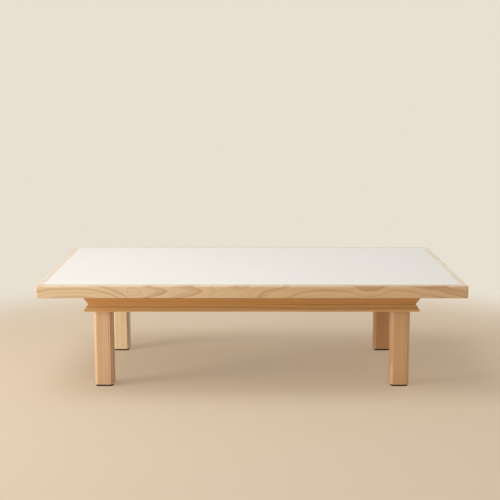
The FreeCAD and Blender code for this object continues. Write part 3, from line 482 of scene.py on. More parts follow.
@dataclass(frozen=True)
class Drawn(Finish):
    """A metal drawn, rolled or brushed along one axis."""

    pale: Colour
    dark: Colour
    along: Axis
    roughness: float

    def paint(self, tree: Tree) -> None:
        """Fine lines along the axis, over slow patches.

        Args:
            tree: the tree.
        """
        place = tree.place()
        lines = tree.noise(tree.mapped(place, self.along.scales(15.0, 900.0)), 1.0)
        patches = tree.noise(place, 38.0)
        colour = tree.mix((lines * 0.5 + patches * 0.5).step(0.3, 0.7), self.pale, self.dark)
        roughness = self.roughness + (lines - 0.5) * 0.18 + (patches - 0.5) * 0.12
        tree.surface(colour, roughness, tree.bump(lines, 0.00002), Metallic=1.0)


@dataclass(frozen=True)
class Plated(Finish):
    """Zinc plating: small crystals of two greys."""

    pale: Colour
    dark: Colour

    CRYSTALS = 700.0
    VORONOI_COLOUR = 1

    def paint(self, tree: Tree) -> None:
        """Crystals, with a slightly different sheen each.

        Args:
            tree: the tree.
        """
        place = tree.place()
        sockets = {"Vector": place, "Scale": self.CRYSTALS}
        crystal = tree.node("ShaderNodeTexVoronoi", {}, sockets, self.VORONOI_COLOUR)
        grey = tree.node("ShaderNodeSeparateColor", {}, {0: crystal})
        patches = tree.noise(place, 160.0)
        colour = tree.mix(grey * 0.7 + patches * 0.3, self.pale, self.dark)
        roughness = 0.26 + grey * 0.16 + patches * 0.08
        tree.surface(colour, roughness, tree.bump(grey, 0.00001), Metallic=1.0)


@dataclass(frozen=True)
class Quartz(Finish):
    """Clear quartz glass with a faint haze."""

    tint: Colour
    haze: Colour

    def paint(self, tree: Tree) -> None:
        """Glass whose haze and roughness drift slowly.

        Args:
            tree: the tree.
        """
        haze = tree.noise(tree.mapped(tree.place(), (12.0, 90.0, 90.0)), 1.0)
        colour = tree.mix(haze, self.tint, self.haze)
        tree.surface(colour, 0.05 + haze * 0.08, tree.bump(haze, 0.00002), IOR=1.46,
                     Transmission_Weight=0.92, Alpha=0.42 + haze * 0.12)


PALE_PINE = srgb(216, 189, 150)
# Painted shade: the darker, warmer tone the edging takes on towards one end, as if less light fell there
PAINTED_SHADE_PINE = srgb(211, 174, 127)
PINE_LINE = srgb(164, 106, 56)
# Painted highlight: the edging's top face and upper arris paler, as if they reflected the room at a grazing
# angle; the short strips paler still
TOP_HIGHLIGHT_PINE = srgb(219, 197, 165)
TOP_HIGHLIGHT_ENDS = srgb(226, 207, 179)
# Each leg's own tone, with painted light and shade in it: the rear-left paler, as if the window lit it, the
# rear-right darker and redder, as if in the table's shade
LEG_TONES_AND_PAINTED_LIGHT = (srgb(212, 175, 135), srgb(211, 168, 120), srgb(216, 160, 106), srgb(243, 219, 179))
LEG_LINE = srgb(170, 122, 78)
APRON_PINE = srgb(212, 158, 92)
APRON_LINE = srgb(152, 98, 46)
# Painted light: the paler tone of the aprons' lower slope and lip, which stands in for the light the slope
# catches
APRON_PAINTED_LIGHT = srgb(219, 175, 114)
RAIL_WOOD = srgb(214, 184, 140)
RAIL_LINE = srgb(160, 122, 80)

# The front edging's pith, along the table: how far above the strip's middle, and how far behind its face
EDGE_RISE = ((-0.75, 0.026), (-0.60, 0.040), (-0.52, 0.030), (-0.45, 0.008), (-0.417, 0.0), (-0.30, 0.001),
             (-0.10, -0.002), (0.0, -0.018), (0.08, -0.012), (0.22, 0.026), (0.33, 0.026), (0.414, 0.014),
             (0.51, 0.031), (0.60, 0.020), (0.75, -0.012))
EDGE_SINK = ((-0.75, 0.032), (-0.60, 0.030), (-0.52, 0.029), (-0.47, 0.026), (-0.4396, 0.0215),
             (-0.417, 0.0115), (-0.379, 0.0215), (-0.2665, 0.0334), (-0.173, 0.0449), (-0.1073, 0.0564),
             (-0.05, 0.057), (0.04, 0.040), (0.10, 0.036), (0.25, 0.034), (0.42, 0.030), (0.60, 0.030),
             (0.75, 0.028))

# Each speckled finish has its two tones, grains, roughness and height, then metallic and coat if not 0
FIBREBOARD = Speckled("fibreboard", srgb(190, 158, 120), srgb(158, 124, 88), 520.0, 0.72, 0.00012,
                      contrast=0.9, mottle=0.16)
HONEYCOMB = Speckled("honeycomb_paper", srgb(206, 182, 146), srgb(178, 150, 112), 260.0, 0.85, 0.00010)
FOOT_RUBBER = Speckled("foot_rubber", srgb(48, 31, 21), srgb(24, 14, 9), 900.0, 0.88, 0.00020)
PAD_RUBBER = Speckled("pad_rubber", srgb(100, 96, 92), srgb(82, 79, 76), 700.0, 0.62, 0.00005)
HOUSING = Speckled("housing_steel", srgb(196, 198, 198), srgb(178, 181, 182), 520.0, 0.42, 0.00004, 0.55)
MOULDING = Speckled("moulding", srgb(44, 42, 41), srgb(30, 29, 28), 620.0, 0.48, 0.00006)
GUARD_PAINT = Speckled("guard_paint", srgb(52, 50, 49), srgb(36, 35, 34), 480.0, 0.50, 0.00005, 0.2)
FAN_PLASTIC = Speckled("fan_plastic", srgb(70, 72, 74), srgb(54, 56, 58), 300.0, 0.38, 0.00003)
CERAMIC = Speckled("ceramic", srgb(232, 227, 214), srgb(214, 206, 190), 500.0, 0.55, 0.00004)
WIRE_SLEEVE = Speckled("wire_sleeve", srgb(214, 212, 204), srgb(196, 192, 182), 800.0, 0.60, 0.00004)
MOTOR_CASE = Speckled("motor_case", srgb(134, 134, 137), srgb(114, 114, 117), 560.0, 0.40, 0.00004, 0.3, 0.2)

ZINC = Plated("zinc_steel", srgb(206, 206, 202), srgb(162, 163, 160))
BRIGHT_SHEET = Drawn("bright_sheet", srgb(226, 226, 222), srgb(196, 197, 194), Axis.X, 0.16)
COIL_WIRE = Drawn("coil_wire", srgb(128, 116, 104), srgb(92, 84, 78), Axis.X, 0.42)
BRASS = Drawn("brass", srgb(214, 178, 104), srgb(182, 146, 76), Axis.Y, 0.26)
LAMINATE = Laminate("white_laminate", srgb(241, 239, 235), srgb(239, 236, 231))
QUARTZ = Quartz("quartz", srgb(244, 246, 246), srgb(226, 230, 231))


def wear(finish: Finish, *nodes: str) -> None:
    """Dresses nodes of the table that keep their shape.

    Args:
        finish: their finish.
        nodes: their names.
    """
    for name in nodes:
        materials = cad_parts[name].data.materials
        materials.clear()
        materials.append(finish.material())
    LOG.info("dressed %s in %s", ", ".join(nodes), finish.name)


# Building small pieces


class Shape:
    """A mesh under construction."""

    SMOOTH_BELOW = math.radians(38)

    def __init__(self) -> None:
        """Starts with nothing."""
        self.mesh = bmesh.new()

    def grow(self, edges: Edges, move: Callable[[Vector], Vector]) -> Edges:
        """Extrudes a loop of edges and moves the new one.

        Args:
            edges: the loop.
            move: where each new point goes.

        Returns:
            The new loop.
        """
        made = bmesh.ops.extrude_edge_only(self.mesh, edges=list(edges))["geom"]
        points = {item for item in made if isinstance(item, bmesh.types.BMVert)}
        for point in points:
            point.co = move(point.co)
        return [item for item in made if isinstance(item, bmesh.types.BMEdge) and set(item.verts) <= points]

    def grow_to(self, edges: Edges, *steps: tuple[float, float]) -> Edges:
        """Extrudes a loop about Z to one circle after another.

        Args:
            edges: the loop.
            steps: the radius and height of each circle.

        Returns:
            The last loop.
        """
        for radius, height in steps:
            edges = self.grow(edges, functools.partial(self._on_circle, radius, height))
        return edges

    @staticmethod
    def _on_circle(radius: float, height: float, point: Vector) -> Vector:
        """A point, straight out from Z to a circle about it."""
        flat = Vector((point.x, point.y, 0)).normalized() * radius
        return Vector((flat.x, flat.y, height))

    def turned(self, profile: Points, sides: int) -> "Shape":
        """Spins a profile about Z.

        Args:
            profile: its radii and heights, from one end to the other.
            sides: how many steps the turn has.

        Returns:
            This shape.
        """
        points = [self.mesh.verts.new((radius, 0, height)) for radius, height in profile]
        edges = [self.mesh.edges.new(pair) for pair in zip(points, points[1:])]
        bmesh.ops.spin(self.mesh, geom=points + edges, cent=(0, 0, 0), axis=(0, 0, 1), dvec=(0, 0, 0),
                       angle=FULL_TURN, steps=sides, use_merge=True, use_duplicate=False)
        return self.mended()

    def wound(self, outline: Points, pitch: float, turns: int, sides: int) -> "Shape":
        """Winds a closed outline about Z, upwards from zero, and closes both ends.

        Args:
            outline: its radii and heights.
            pitch: how far it climbs in a turn.
            turns: how many turns it makes.
            sides: how many steps a turn has.

        Returns:
            This shape.
        """
        points = [self.mesh.verts.new((radius, 0, height)) for radius, height in outline]
        edges = [self.mesh.edges.new(pair) for pair in zip(points, points[1:] + points[:1])]
        bmesh.ops.spin(self.mesh, geom=points + edges, cent=(0, 0, 0), axis=(0, 0, 1),
                       dvec=(0, 0, pitch / sides), angle=FULL_TURN * turns, steps=sides * turns,
                       use_merge=False, use_duplicate=False)
        ends = [edge for edge in self.mesh.edges if edge.is_boundary]
        bmesh.ops.holes_fill(self.mesh, edges=ends, sides=0)
        return self.mended()

    def box(self, low: Sequence[float], high: Sequence[float], edge: float, segments: int = 2) -> "Shape":
        """Adds a box with rounded edges.

        Args:
            low: its lowest corner.
            high: its highest corner.
            edge: the radius of its edges.
            segments: how many faces round an edge.

        Returns:
            This shape.
        """
        low, high = Vector(low), Vector(high)
        made = bmesh.ops.create_cube(self.mesh, size=1.0)["verts"]
        matrix = Matrix.Translation((low + high) / 2) @ Matrix.Diagonal((*(high - low), 1))
        bmesh.ops.transform(self.mesh, matrix=matrix, verts=made)
        edges = {item for point in made for item in point.link_edges}
        bmesh.ops.bevel(self.mesh, geom=list(edges), offset=edge, segments=segments, profile=0.5,
                        affect="EDGES", material=-1)
        return self

    def mended(self) -> "Shape":
        """Merges doubled points and turns every face outwards.

        Returns:
            This shape.
        """
        bmesh.ops.remove_doubles(self.mesh, verts=self.mesh.verts, dist=1e-6)
        bmesh.ops.recalc_face_normals(self.mesh, faces=self.mesh.faces)
        return self

    def moved(self, matrix: Matrix) -> "Shape":
        """Moves everything so far by a matrix."""
        bmesh.ops.transform(self.mesh, matrix=matrix, verts=self.mesh.verts)
        return self

    def add(self, other: "Shape", *places: Matrix) -> "Shape":
        """Adds copies of another shape.

        Args:
            other: the shape, which stays as it is.
            places: where the copies go.

        Returns:
            This shape.
        """
        for place in places:
            copy = bpy.data.meshes.new("copy")
            other.mesh.to_mesh(copy)
            copy.transform(place)
            self.mesh.from_mesh(copy)
            bpy.data.meshes.remove(copy)
        return self

    def piece(self, name: str, finish: Finish, node: str, body: Body = Body.UNDERFRAME) -> None:
        """Makes the shape a piece of the table.

        Args:
            name: the piece's name.
            finish: its finish, which is named as its material slot.
            node: the node that it stands for.
            body: the body that it rides on.
        """
        for face in self.mesh.faces:
            face.smooth = True
        for edge in self.mesh.edges:
            edge.smooth = edge.calc_face_angle(0.0) < self.SMOOTH_BELOW
        mesh = bpy.data.meshes.new(name)
        self.mesh.to_mesh(mesh)
        self.mesh.free()
        mesh.materials.append(finish.material())
        made = bpy.data.objects.new(name, mesh)
        bpy.context.scene.collection.objects.link(made)
        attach(made, body.value)
        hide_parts(node)
        LOG.info("%s: %d faces on %s", name, len(mesh.polygons), body.value)


def pointing(place: Sequence[float], direction: Sequence[float]) -> Matrix:
    """The matrix that sets a shape's origin at a place and its Z along a direction."""
    turn = UP.rotation_difference(Vector(direction)).to_matrix().to_4x4()
    return Matrix.Translation(place) @ turn


@dataclass(frozen=True)
class Screw:
    """A cross-head screw that points along Z, the underside of its head at zero. Lengths in metres.

    The recess has its REACH, SLIT and DEPTH, and the head its CROWN and DOME, as shares of the head's radius
    and height, and FLOOR is how far the recess narrows. PLAIN is a share of the length, and the values after
    it are shares of the shank's radius.
    """

    radius: float
    length: float
    head_radius: float
    head_height: float

    REACH, SLIT, DEPTH, FLOOR = 0.52, 0.19, 0.35, 0.7
    CROWN, DOME = (0.72, 0.98), ((0.92, 0.72), (1.0, 0.35), (1.0, 0.0))
    PLAIN, PITCH, GROOVE, POINT, NECK, TIP = 0.25, 0.55, 0.80, 1.6, 0.78, 0.4

    def shape(self) -> Shape:
        """The screw: recess, domed head, threaded shank and tip.

        Returns:
            Its shape.
        """
        shape, head, top, shank = Shape(), self.head_radius, -self.head_height, self.radius
        reach, slit, wide = self.REACH * head, self.SLIT * head, self.CROWN[0] * head
        cross = [Matrix.Rotation(turn * FULL_TURN / 4, 2) @ Vector(corner)
                 for turn in range(4) for corner in ((reach, -slit), (reach, slit), (slit, slit))]
        angles = [(index - 0.5) * FULL_TURN / len(cross) for index in range(len(cross))]
        crown = [Vector((wide * math.cos(angle), wide * math.sin(angle), top * self.CROWN[1]))
                 for angle in angles]
        shape.mesh.faces.new([shape.mesh.verts.new((*(corner * self.FLOOR), top * self.DEPTH))
                              for corner in cross])

        def to_rim(point: Vector) -> Vector:
            """Sends a corner of the recess's floor to its rim."""
            return Vector((point.x / self.FLOOR, point.y / self.FLOOR, top))

        def to_crown(point: Vector) -> Vector:
            """Sends a corner of the rim to its own place on the crown's circle."""
            nearest = min(range(len(cross)), key=lambda index: (cross[index] - point.xy).length)
            return crown[nearest]

        loop = shape.grow(shape.grow(shape.mesh.edges, to_rim), to_crown)
        loop = shape.grow_to(loop, *((head * out, top * up) for out, up in self.DOME), (shank, 0.0))
        height, pitch = self.length * self.PLAIN, shank * self.PITCH
        while height < self.length - shank * self.POINT:
            loop = shape.grow_to(loop, (shank * self.GROOVE, height), (shank, height + pitch / 2))
            height += pitch
        loop = shape.grow_to(loop, (shank * self.NECK, height), (shank * self.TIP, self.length))
        bmesh.ops.contextual_create(shape.mesh, geom=list(loop))
        return shape.mended()


# The table


@dataclass
class Tabletop:
    """The loose top: laminate on a hollow board with a mitred edging. Lengths in metres."""

    # Heights across the edging where its painted highlight is full and where it is gone
    painted_highlight_edges: tuple[float, float] = (0.3965, 0.3925)
    # Where along the edging its painted shade starts and where it is full
    painted_shade_run: tuple[float, float] = (-0.40, 0.15)

    def build(self) -> None:
        """Dresses the board, its core and its edging."""
        wear(LAMINATE, "top_laminate")
        wear(FIBREBOARD, "upper_skin_board", "lower_skin_board")
        wear(HONEYCOMB, "honeycomb_panels")
        wear(self.core_wood(Axis.X), "core_rail_front", "core_rail_rear")
        wear(self.core_wood(Axis.Y), "core_rail_left", "core_rail_right", "core_battens")
        for number, side in enumerate(("front", "rear", "left", "right")):
            wear(self.edging_wood(side, number), "edging_" + side)

    @staticmethod
    def core_wood(along: Axis) -> Wood:
        """Plain softwood for the core."""
        return Wood(f"core_wood_{along.name}", RAIL_WOOD, RAIL_LINE, along, (0.30, 0.05), ring=0.004)

    def edging_wood(self, side: str, number: int) -> Wood:
        """Flat-sawn wood, its pith near the face, so that flames and arches show.

        Args:
            side: which strip.
            number: the strip's number, which sets its grain apart.

        Returns:
            The strip's finish.
        """
        low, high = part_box("edging_" + side)
        run = Axis.X if side in ("front", "rear") else Axis.Y
        face = {"front": low.y, "rear": high.y, "left": low.x, "right": high.x}[side]
        rise, sink = (EDGE_RISE, EDGE_SINK) if side == "front" else ((), ())
        # The top face gets a painted highlight, paler on the short strips, and the strip gets painted shade
        # along its run
        upper = TOP_HIGHLIGHT_PINE if run is Axis.X else TOP_HIGHLIGHT_ENDS
        pith = (((low + high) / 2).z, face)
        return Wood(f"edging_{side}_wood", PALE_PINE, PINE_LINE, run, pith,
                    ring=0.0115, wander=0.034, waves=2.1, contrast=0.50, seed=3.7 * number, rise=rise,
                    sink=sink, painted_light_band=upper, painted_light_edges=self.painted_highlight_edges, warm=PAINTED_SHADE_PINE, painted_shade_run=self.painted_shade_run,
                    fine_rings=0.26, lacquer=1.0, sheen=0.30)


@dataclass
class Underframe:
    """Aprons, legs, rails and slats, with the fittings that hold them. Lengths in metres."""

    apron_pith: tuple[float, float] = (0.16, 0.30)
    # Heights where the painted light on the aprons' lower slope is full and where it is gone
    apron_painted_light_edges: tuple[float, float] = (0.303, 0.312)
    leg_pith: tuple[float, float] = (0.16, 0.15)
    leg_flat_cut: float = 0.014
    draw_gap: float = 0.003
    block_thickness: float = 0.026
    block_level: float = 0.318
    block_screw: Screw = Screw(0.002, 0.024, 0.004, 0.0025)
    block_screw_seat: float = 0.008
    bolt_spacing: float = 0.028
    bolt_radius: float = 0.004
    bolt_core: float = 0.86
    bolt_grip: float = 0.042
    bolt_tip: float = 0.005
    bolt_point: float = 0.006
    machine_thread: float = 0.026
    thread_pitch: float = 0.00125
    coarse_pitches: float = 2.4
    washer_radius: float = 0.009
    washer_bore: float = 0.0045
    washer_thickness: float = 0.0016
    washer_edge: float = 0.0003
    nut_radius: float = 0.0074
    nut_height: float = 0.0065
    nut_edge: float = 0.0009
    nut_play: float = 0.0001
    pad_radius: float = 0.011
    pad_edge: float = 0.0006
    pad_rings: tuple[float, ...] = (0.0085, 0.0060, 0.0035)
    ring_width: float = 0.0012
    ring_slope: float = 0.0003
    ring_depth: float = 0.0005

    CORNERS = ((-1, -1), (1, -1), (1, 1), (-1, 1))
    NAMES = ("front_left", "front_right", "rear_right", "rear_left")

    def build(self) -> None:
        """Dresses the wood and makes the fittings."""
        self.dress()
        self.bolts().piece("threaded_leg_bolts", ZINC, "leg_bolts")
        self.washers().piece("bevelled_washers", ZINC, "leg_washers")
        self.nuts().piece("chamfered_nuts", ZINC, "leg_nuts")
        self.block_screws().piece("cross_head_block_screws", ZINC, "corner_block_screws")
        self.rest_pads().piece("ribbed_rest_pads", PAD_RUBBER, "rest_pads")

    def dress(self) -> None:
        """Gives each board its own wood."""
        for number, side in enumerate(("front", "rear", "left", "right")):
            run = Axis.X if side in ("front", "rear") else Axis.Y
            # Each apron's lower slope and lip get a paler band of painted light
            wear(Wood(f"apron_{side}_wood", APRON_PINE, APRON_LINE, run, self.apron_pith, ring=0.0052,
                      wander=0.003, waves=1.2, contrast=0.75, seed=5.3 * number, painted_light_band=APRON_PAINTED_LIGHT,
                      painted_light_edges=self.apron_painted_light_edges, fine_rings=0.30), "apron_" + side)
        for number, name in enumerate(self.NAMES):
            low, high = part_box("leg_" + name)
            middle = (low + high) / 2
            pith = (middle.x + self.leg_pith[0], middle.y + self.leg_pith[1])
            # Each leg gets its own tone, with painted light and shade in it
            wear(Wood(f"leg_{name}_wood", LEG_TONES_AND_PAINTED_LIGHT[number], LEG_LINE, Axis.Z, pith, ring=0.0046,
                      wander=0.004, waves=1.1, contrast=0.60, seed=7.1 * number, fine_rings=0.26),
                 "leg_" + name)
            wear(FOOT_RUBBER, "foot_pad_" + name)
        for slant, names in ((45.0, self.NAMES[::2]), (-45.0, self.NAMES[1::2])):
            wood = Wood(f"block_wood_{names[0]}", RAIL_WOOD, RAIL_LINE, Axis.X, (0.40, 0.12), ring=0.005,
                        slant=slant)
            wear(wood, *("corner_block_" + name for name in names))
        wear(Wood("rail_wood", RAIL_WOOD, RAIL_LINE, Axis.Y, (0.25, 0.06), ring=0.006), "heater_rail_left",
             "heater_rail_right", "quilt_rail_left", "quilt_rail_right")
        wear(Wood("slat_wood", RAIL_WOOD, RAIL_LINE, Axis.X, (0.30, 0.10), ring=0.005), "lattice_slats")

    def corner(self) -> Vector:
        """Where the inner faces of the right and the rear apron meet."""
        return Vector((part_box("apron_right")[0].x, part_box("apron_rear")[0].y))

    def leg_cut(self) -> float:
        """How far both inner sides of a leg reach, added, less what is cut off its inner edge."""
        low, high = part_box("leg_rear_right")
        return 2 * (high.x - low.x) - self.leg_flat_cut

    def block_faces(self) -> tuple[float, float]:
        """Where a corner block's two long faces meet an apron, from the corner."""
        outer = self.leg_cut() + self.draw_gap * math.sqrt(2)
        return outer, outer + self.block_thickness * math.sqrt(2)

    def nut_seat(self) -> float:
        """How far the outer face of a washer lies from the corner."""
        return self.block_faces()[1] / math.sqrt(2) + self.washer_thickness

    def diagonals(self, distance: float) -> list[Matrix]:
        """Where a fitting stands on each leg's diagonal, pointing outwards, at both bolts' heights.

        Args:
            distance: from the corner of the aprons' inner faces, in metres.

        Returns:
            Eight matrices.
        """
        x, y = self.corner() - Vector((1, 1)) * distance / math.sqrt(2)
        levels = [self.block_level + row * self.bolt_spacing / 2 for row in (-1, 1)]
        return [pointing((side * x, face * y, level), (side, face, 0))
                for side, face in self.CORNERS for level in levels]

    def bolts(self) -> Shape:
        """Hanger bolts: a machine thread for the nut, a coarse one in the leg.

        Returns:
            All eight.
        """
        end = self.nut_seat() + self.nut_height + self.bolt_tip
        length = end - self.leg_cut() / math.sqrt(2) + self.bolt_grip
        crest, core, machine = self.bolt_radius, self.bolt_radius * self.bolt_core, self.machine_thread
        grip, point = length - self.bolt_grip, length - self.bolt_point
        bolt = Shape().turned([(0, 0), (core * 0.8, 0), (core, 0.0008), (core, machine),
                               (crest, machine + 0.001), (crest, grip), (core, grip + 0.002), (core, point),
                               (core * 0.4, length), (0, length)], sides=16)
        for pitch, first, last, sides in ((self.thread_pitch, 0, machine, 16),
                                          (self.coarse_pitches * self.thread_pitch, grip, point, 12)):
            turns, root, half = math.floor((last - first) / pitch) - 2, core * 0.92, pitch * 0.4
            ridge = Shape().wound(((root, -half), (crest, 0), (root, half)), pitch, turns, sides)
            bolt.add(ridge, Matrix.Translation((0, 0, first + pitch)))
        return Shape().add(bolt, *self.diagonals(end))

    def washers(self) -> Shape:
        """Flat washers with a broken edge.

        Returns:
            All eight.
        """
        inner, outer = self.washer_bore, self.washer_radius
        height, edge = self.washer_thickness, self.washer_edge
        washer = Shape().turned([(inner, 0), (outer - edge, 0), (outer, edge), (outer, height - edge),
                                 (outer - edge, height), (inner, height), (inner, 0)], sides=32)
        return Shape().add(washer, *self.diagonals(self.nut_seat()))

    def nuts(self) -> Shape:
        """Hexagon nuts, chamfered at both ends.

        Returns:
            All eight.
        """
        flat, bore = self.nut_radius * math.cos(math.pi / 6), self.bolt_radius + self.nut_play
        height, edge = self.nut_height, self.nut_edge
        nut = Shape()
        bmesh.ops.create_circle(nut.mesh, radius=bore, segments=12)
        loop = nut.grow_to(nut.mesh.edges, (flat, 0))
        for level in (edge, height - edge):
            loop = nut.grow(loop, functools.partial(self._on_hexagon, flat, level))
        nut.grow_to(loop, (flat, height), (bore, height), (bore, 0))
        return Shape().add(nut.mended(), *self.diagonals(self.nut_seat() + height))

    def _on_hexagon(self, flat: float, level: float, point: Vector) -> Vector:
        """Sends each of twelve points to a corner of a nut or to the middle of one of its sides.

        Args:
            flat: how far the sides are from Z.
            level: the new height.
            point: the point.

        Returns:
            Its new place.
        """
        angle = math.atan2(point.y, point.x)
        reach = self.nut_radius if abs(math.cos(3 * angle)) > 0.5 else flat
        return Vector((reach * math.cos(angle), reach * math.sin(angle), level))

    def block_screws(self) -> Shape:
        """Two screws to a corner block, one into each apron.

        Returns:
            All eight.
        """
        seat, along = self.block_screw_seat, sum(self.block_faces()) / 2
        places = []
        for side, face in self.CORNERS:
            for inset, direction in (((along, seat), (0, face, 0)), ((seat, along), (side, 0, 0))):
                x, y = self.corner() - Vector(inset)
                places.append(pointing((side * x, face * y, self.block_level), direction))
        return Shape().add(self.block_screw.shape(), *places)

    def rest_pads(self) -> Shape:
        """Non-slip pads with rings pressed into their tops.

        Returns:
            All six.
        """
        low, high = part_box("rest_pads")
        height, radius = high.z - low.z, self.pad_radius
        profile = [(0, 0), (radius, 0), (radius, height * 0.7), (radius - self.pad_edge, height)]
        for outer in self.pad_rings:
            inner, floor = outer - self.ring_width, height - self.ring_depth
            profile += [(outer, height), (outer - self.ring_slope, floor), (inner + self.ring_slope, floor),
                        (inner, height)]
        pad = Shape().turned([*profile, (0, height)], sides=32)
        x, y = high.x - radius, high.y - radius
        return Shape().add(pad, *(Matrix.Translation((side * x, face * y, low.z))
                                  for face in (-1, 1) for side in (-1, 0, 1)))


@dataclass
class Heater:
    """The fan heater under the rails, but for its fan. Lengths in metres.

    Each kind of screw has its node's first word, its sizes, the place of one of them, which is mirrored in X
    and Y for the others, and 1 or -1 where it points up or down.
    """

    roof: float = 0.322
    tube_level: float = 0.292
    tube_distance: float = 0.075
    tube_half_length: float = 0.115
    coil_radius: float = 0.0021
    coil_wire: float = 0.0004
    wire_sides: int = 6
    coil_pitch: float = 0.0018
    motor_radius: float = 0.023
    motor_height: float = 0.018
    motor_edge: float = 0.0014
    motor_band: float = 0.004
    boss_radius: float = 0.0065
    boss_height: float = 0.0015
    boss_edge: tuple[float, float] = (0.0006, 0.0005)
    shaft_bore: float = 0.0024
    bore_depth: float = 0.0123
    vent_rim: float = 0.0011
    vent_depth: float = 0.0008
    thermostat_gap: float = 0.0002
    thermostat_edge: float = 0.0008
    flange_width: float = 0.0011
    flange_thickness: float = 0.0010
    tab_reach: float = 0.0032
    tab_distance: float = 0.0038
    tab_size: tuple[float, float, float] = (0.0008, 0.0052, 0.0036)
    tab_edge: float = 0.00015
    fuse_profile: Points = ((0, 0), (0.0012, 0), (0.0022, 0.0012), (0.0026, 0.0030), (0.0026, 0.0150),
                            (0.0022, 0.0168), (0.0012, 0.0180), (0, 0.0180))
    fuse_level: float = 0.0028
    fuse_plate: float = 0.0022
    saddle_distance: float = 0.0078
    saddle_width: float = 0.0026
    saddle_inset: float = 0.0012
    saddle_foot: float = 0.0004
    holder_edge: float = 0.0005
    well_wall: float = 0.0026
    well_slope: float = 0.0004
    well_depth: float = 0.005
    pin_places: tuple[float, float, float] = (0.081, 0.090, 0.099)
    pin_edge: float = 0.0003
    pin_nose: Points = ((1.0, 0.0014), (0.88, 0.0006), (0.5, 0.0001))
    screws: tuple[tuple[str, Screw, tuple[float, float, float], int], ...] = (
        ("heater", Screw(0.0019, 0.021, 0.004, 0.0024), (0.155, 0.095, 0.322), 1),
        ("guard", Screw(0.0015, 0.010, 0.003, 0.002), (0.1385, 0.1385, 0.266), 1),
        ("motor", Screw(0.0015, 0.007, 0.003, 0.0018), (0.015, 0.0, 0.323), -1))

    def build(self) -> None:
        """Dresses the housing and makes what is in it."""
        self.dress()
        self.coils().piece("wound_heating_coils", COIL_WIRE, "heating_coils")
        self.motor().piece("vented_fan_motor", MOTOR_CASE, "fan_motor")
        self.thermostat().piece("disc_thermostat", MOULDING, "thermostat")
        self.fuse().piece("fuse_in_its_holder", CERAMIC, "thermal_fuse")
        self.terminals().piece("three_way_terminal_block", CERAMIC, "terminal_block")
        self.pins().piece("rounded_inlet_pins", BRASS, "inlet_pins")
        for kind, screw, (x, y, level), up in self.screws:
            places = dict.fromkeys((side * x, face * y, level) for side in (-1, 1) for face in (-1, 1))
            whole = Shape().add(screw.shape(), *(pointing(place, (0, 0, up)) for place in places))
            whole.piece(f"cross_head_{kind}_screws", ZINC, f"{kind}_screws")

    def dress(self) -> None:
        """Gives the nodes that keep their shape their finishes."""
        wear(HOUSING, "heater_housing")
        wear(BRIGHT_SHEET, "reflector")
        wear(QUARTZ, "quartz_tube_front", "quartz_tube_rear")
        wear(CERAMIC, "tube_end_caps")
        wear(ZINC, "tube_brackets")
        wear(MOULDING, "inlet_socket", "guard_rim")
        wear(GUARD_PAINT, "guard_grille")
        wear(WIRE_SLEEVE, "lead_wires")

    def coils(self) -> Shape:
        """A wound wire in each tube.

        Returns:
            Both.
        """
        turns = math.floor(2 * self.tube_half_length / self.coil_pitch) - 1
        angles = [FULL_TURN * side / self.wire_sides for side in range(self.wire_sides)]
        wire = [(self.coil_radius + self.coil_wire * math.sin(angle), self.coil_wire * math.cos(angle))
                for angle in angles]
        coil = Shape().wound(wire, self.coil_pitch, turns, sides=12)
        start = -turns * self.coil_pitch / 2
        return Shape().add(coil, *(pointing((start, face * self.tube_distance, self.tube_level), (1, 0, 0))
                                   for face in (-1, 1)))

    def motor(self) -> Shape:
        """A can with a bearing boss and a row of vents round it.

        Returns:
            Its shape.
        """
        radius, height, edge, band = self.motor_radius, self.motor_height, self.motor_edge, self.motor_band
        bore, boss, front = self.shaft_bore, self.boss_radius, -self.boss_height
        shape = Shape().turned([
            (0, self.bore_depth), (bore, self.bore_depth), (bore, front), (boss - self.boss_edge[0], front),
            (boss, front + self.boss_edge[1]), (boss, 0), (radius - edge, 0), (radius, edge), (radius, band),
            (radius, height - band), (radius, height - edge), (radius - edge, height), (0, height)], sides=24)
        centres = {face: face.calc_center_median() for face in shape.mesh.faces}
        sides = [face for face, centre in centres.items() if abs(centre.z - height / 2) < band / 2]
        sides.sort(key=lambda face: math.atan2(centres[face].y, centres[face].x))
        bmesh.ops.inset_individual(shape.mesh, faces=sides[::2], thickness=self.vent_rim,
                                   depth=-self.vent_depth)
        return shape.moved(Matrix.Translation((0, 0, self.roof - height)))

    def thermostat(self) -> Shape:
        """A disc thermostat: flange against the reflector, body below it, two tabs.

        Returns:
            Its shape.
        """
        low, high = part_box("thermostat")
        radius, rear = (high.x - low.x) / 2, high.z - low.z - self.thermostat_gap
        body, front, edge = radius - self.flange_width, self.tab_reach, self.thermostat_edge
        step = rear - self.flange_thickness
        shape = Shape().turned([(0, front), (body - edge, front), (body, front + edge), (body, step),
                                (radius, step), (radius, rear), (0, rear)], sides=32)
        half = Vector(self.tab_size) / 2
        for side in (-1, 1):
            middle = Vector((side * self.tab_distance, 0, half.z))
            shape.box(middle - half, middle + half, self.tab_edge, segments=1)
        centre = (low + high) / 2
        return shape.moved(Matrix.Translation((centre.x, centre.y, low.z)))

    def fuse(self) -> Shape:
        """A round fuse held by two saddles on a plate.

        Returns:
            Their shape.
        """
        low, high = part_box("thermal_fuse")
        centre, inset, half = (low + high) / 2, self.saddle_inset, self.saddle_width / 2
        plate = high.z - self.fuse_plate
        shape = Shape().box((low.x, low.y, plate), high, self.holder_edge)
        for side in (-1, 1):
            middle = centre.y + side * self.saddle_distance
            shape.box((low.x + inset, middle - half, low.z),
                      (high.x - inset, middle + half, plate + self.saddle_foot), self.holder_edge)
        body = Shape().turned(self.fuse_profile, sides=20)
        start = centre.y - self.fuse_profile[-1][1] / 2
        return shape.add(body, pointing((centre.x, start, low.z + self.fuse_level), (0, 1, 0)))

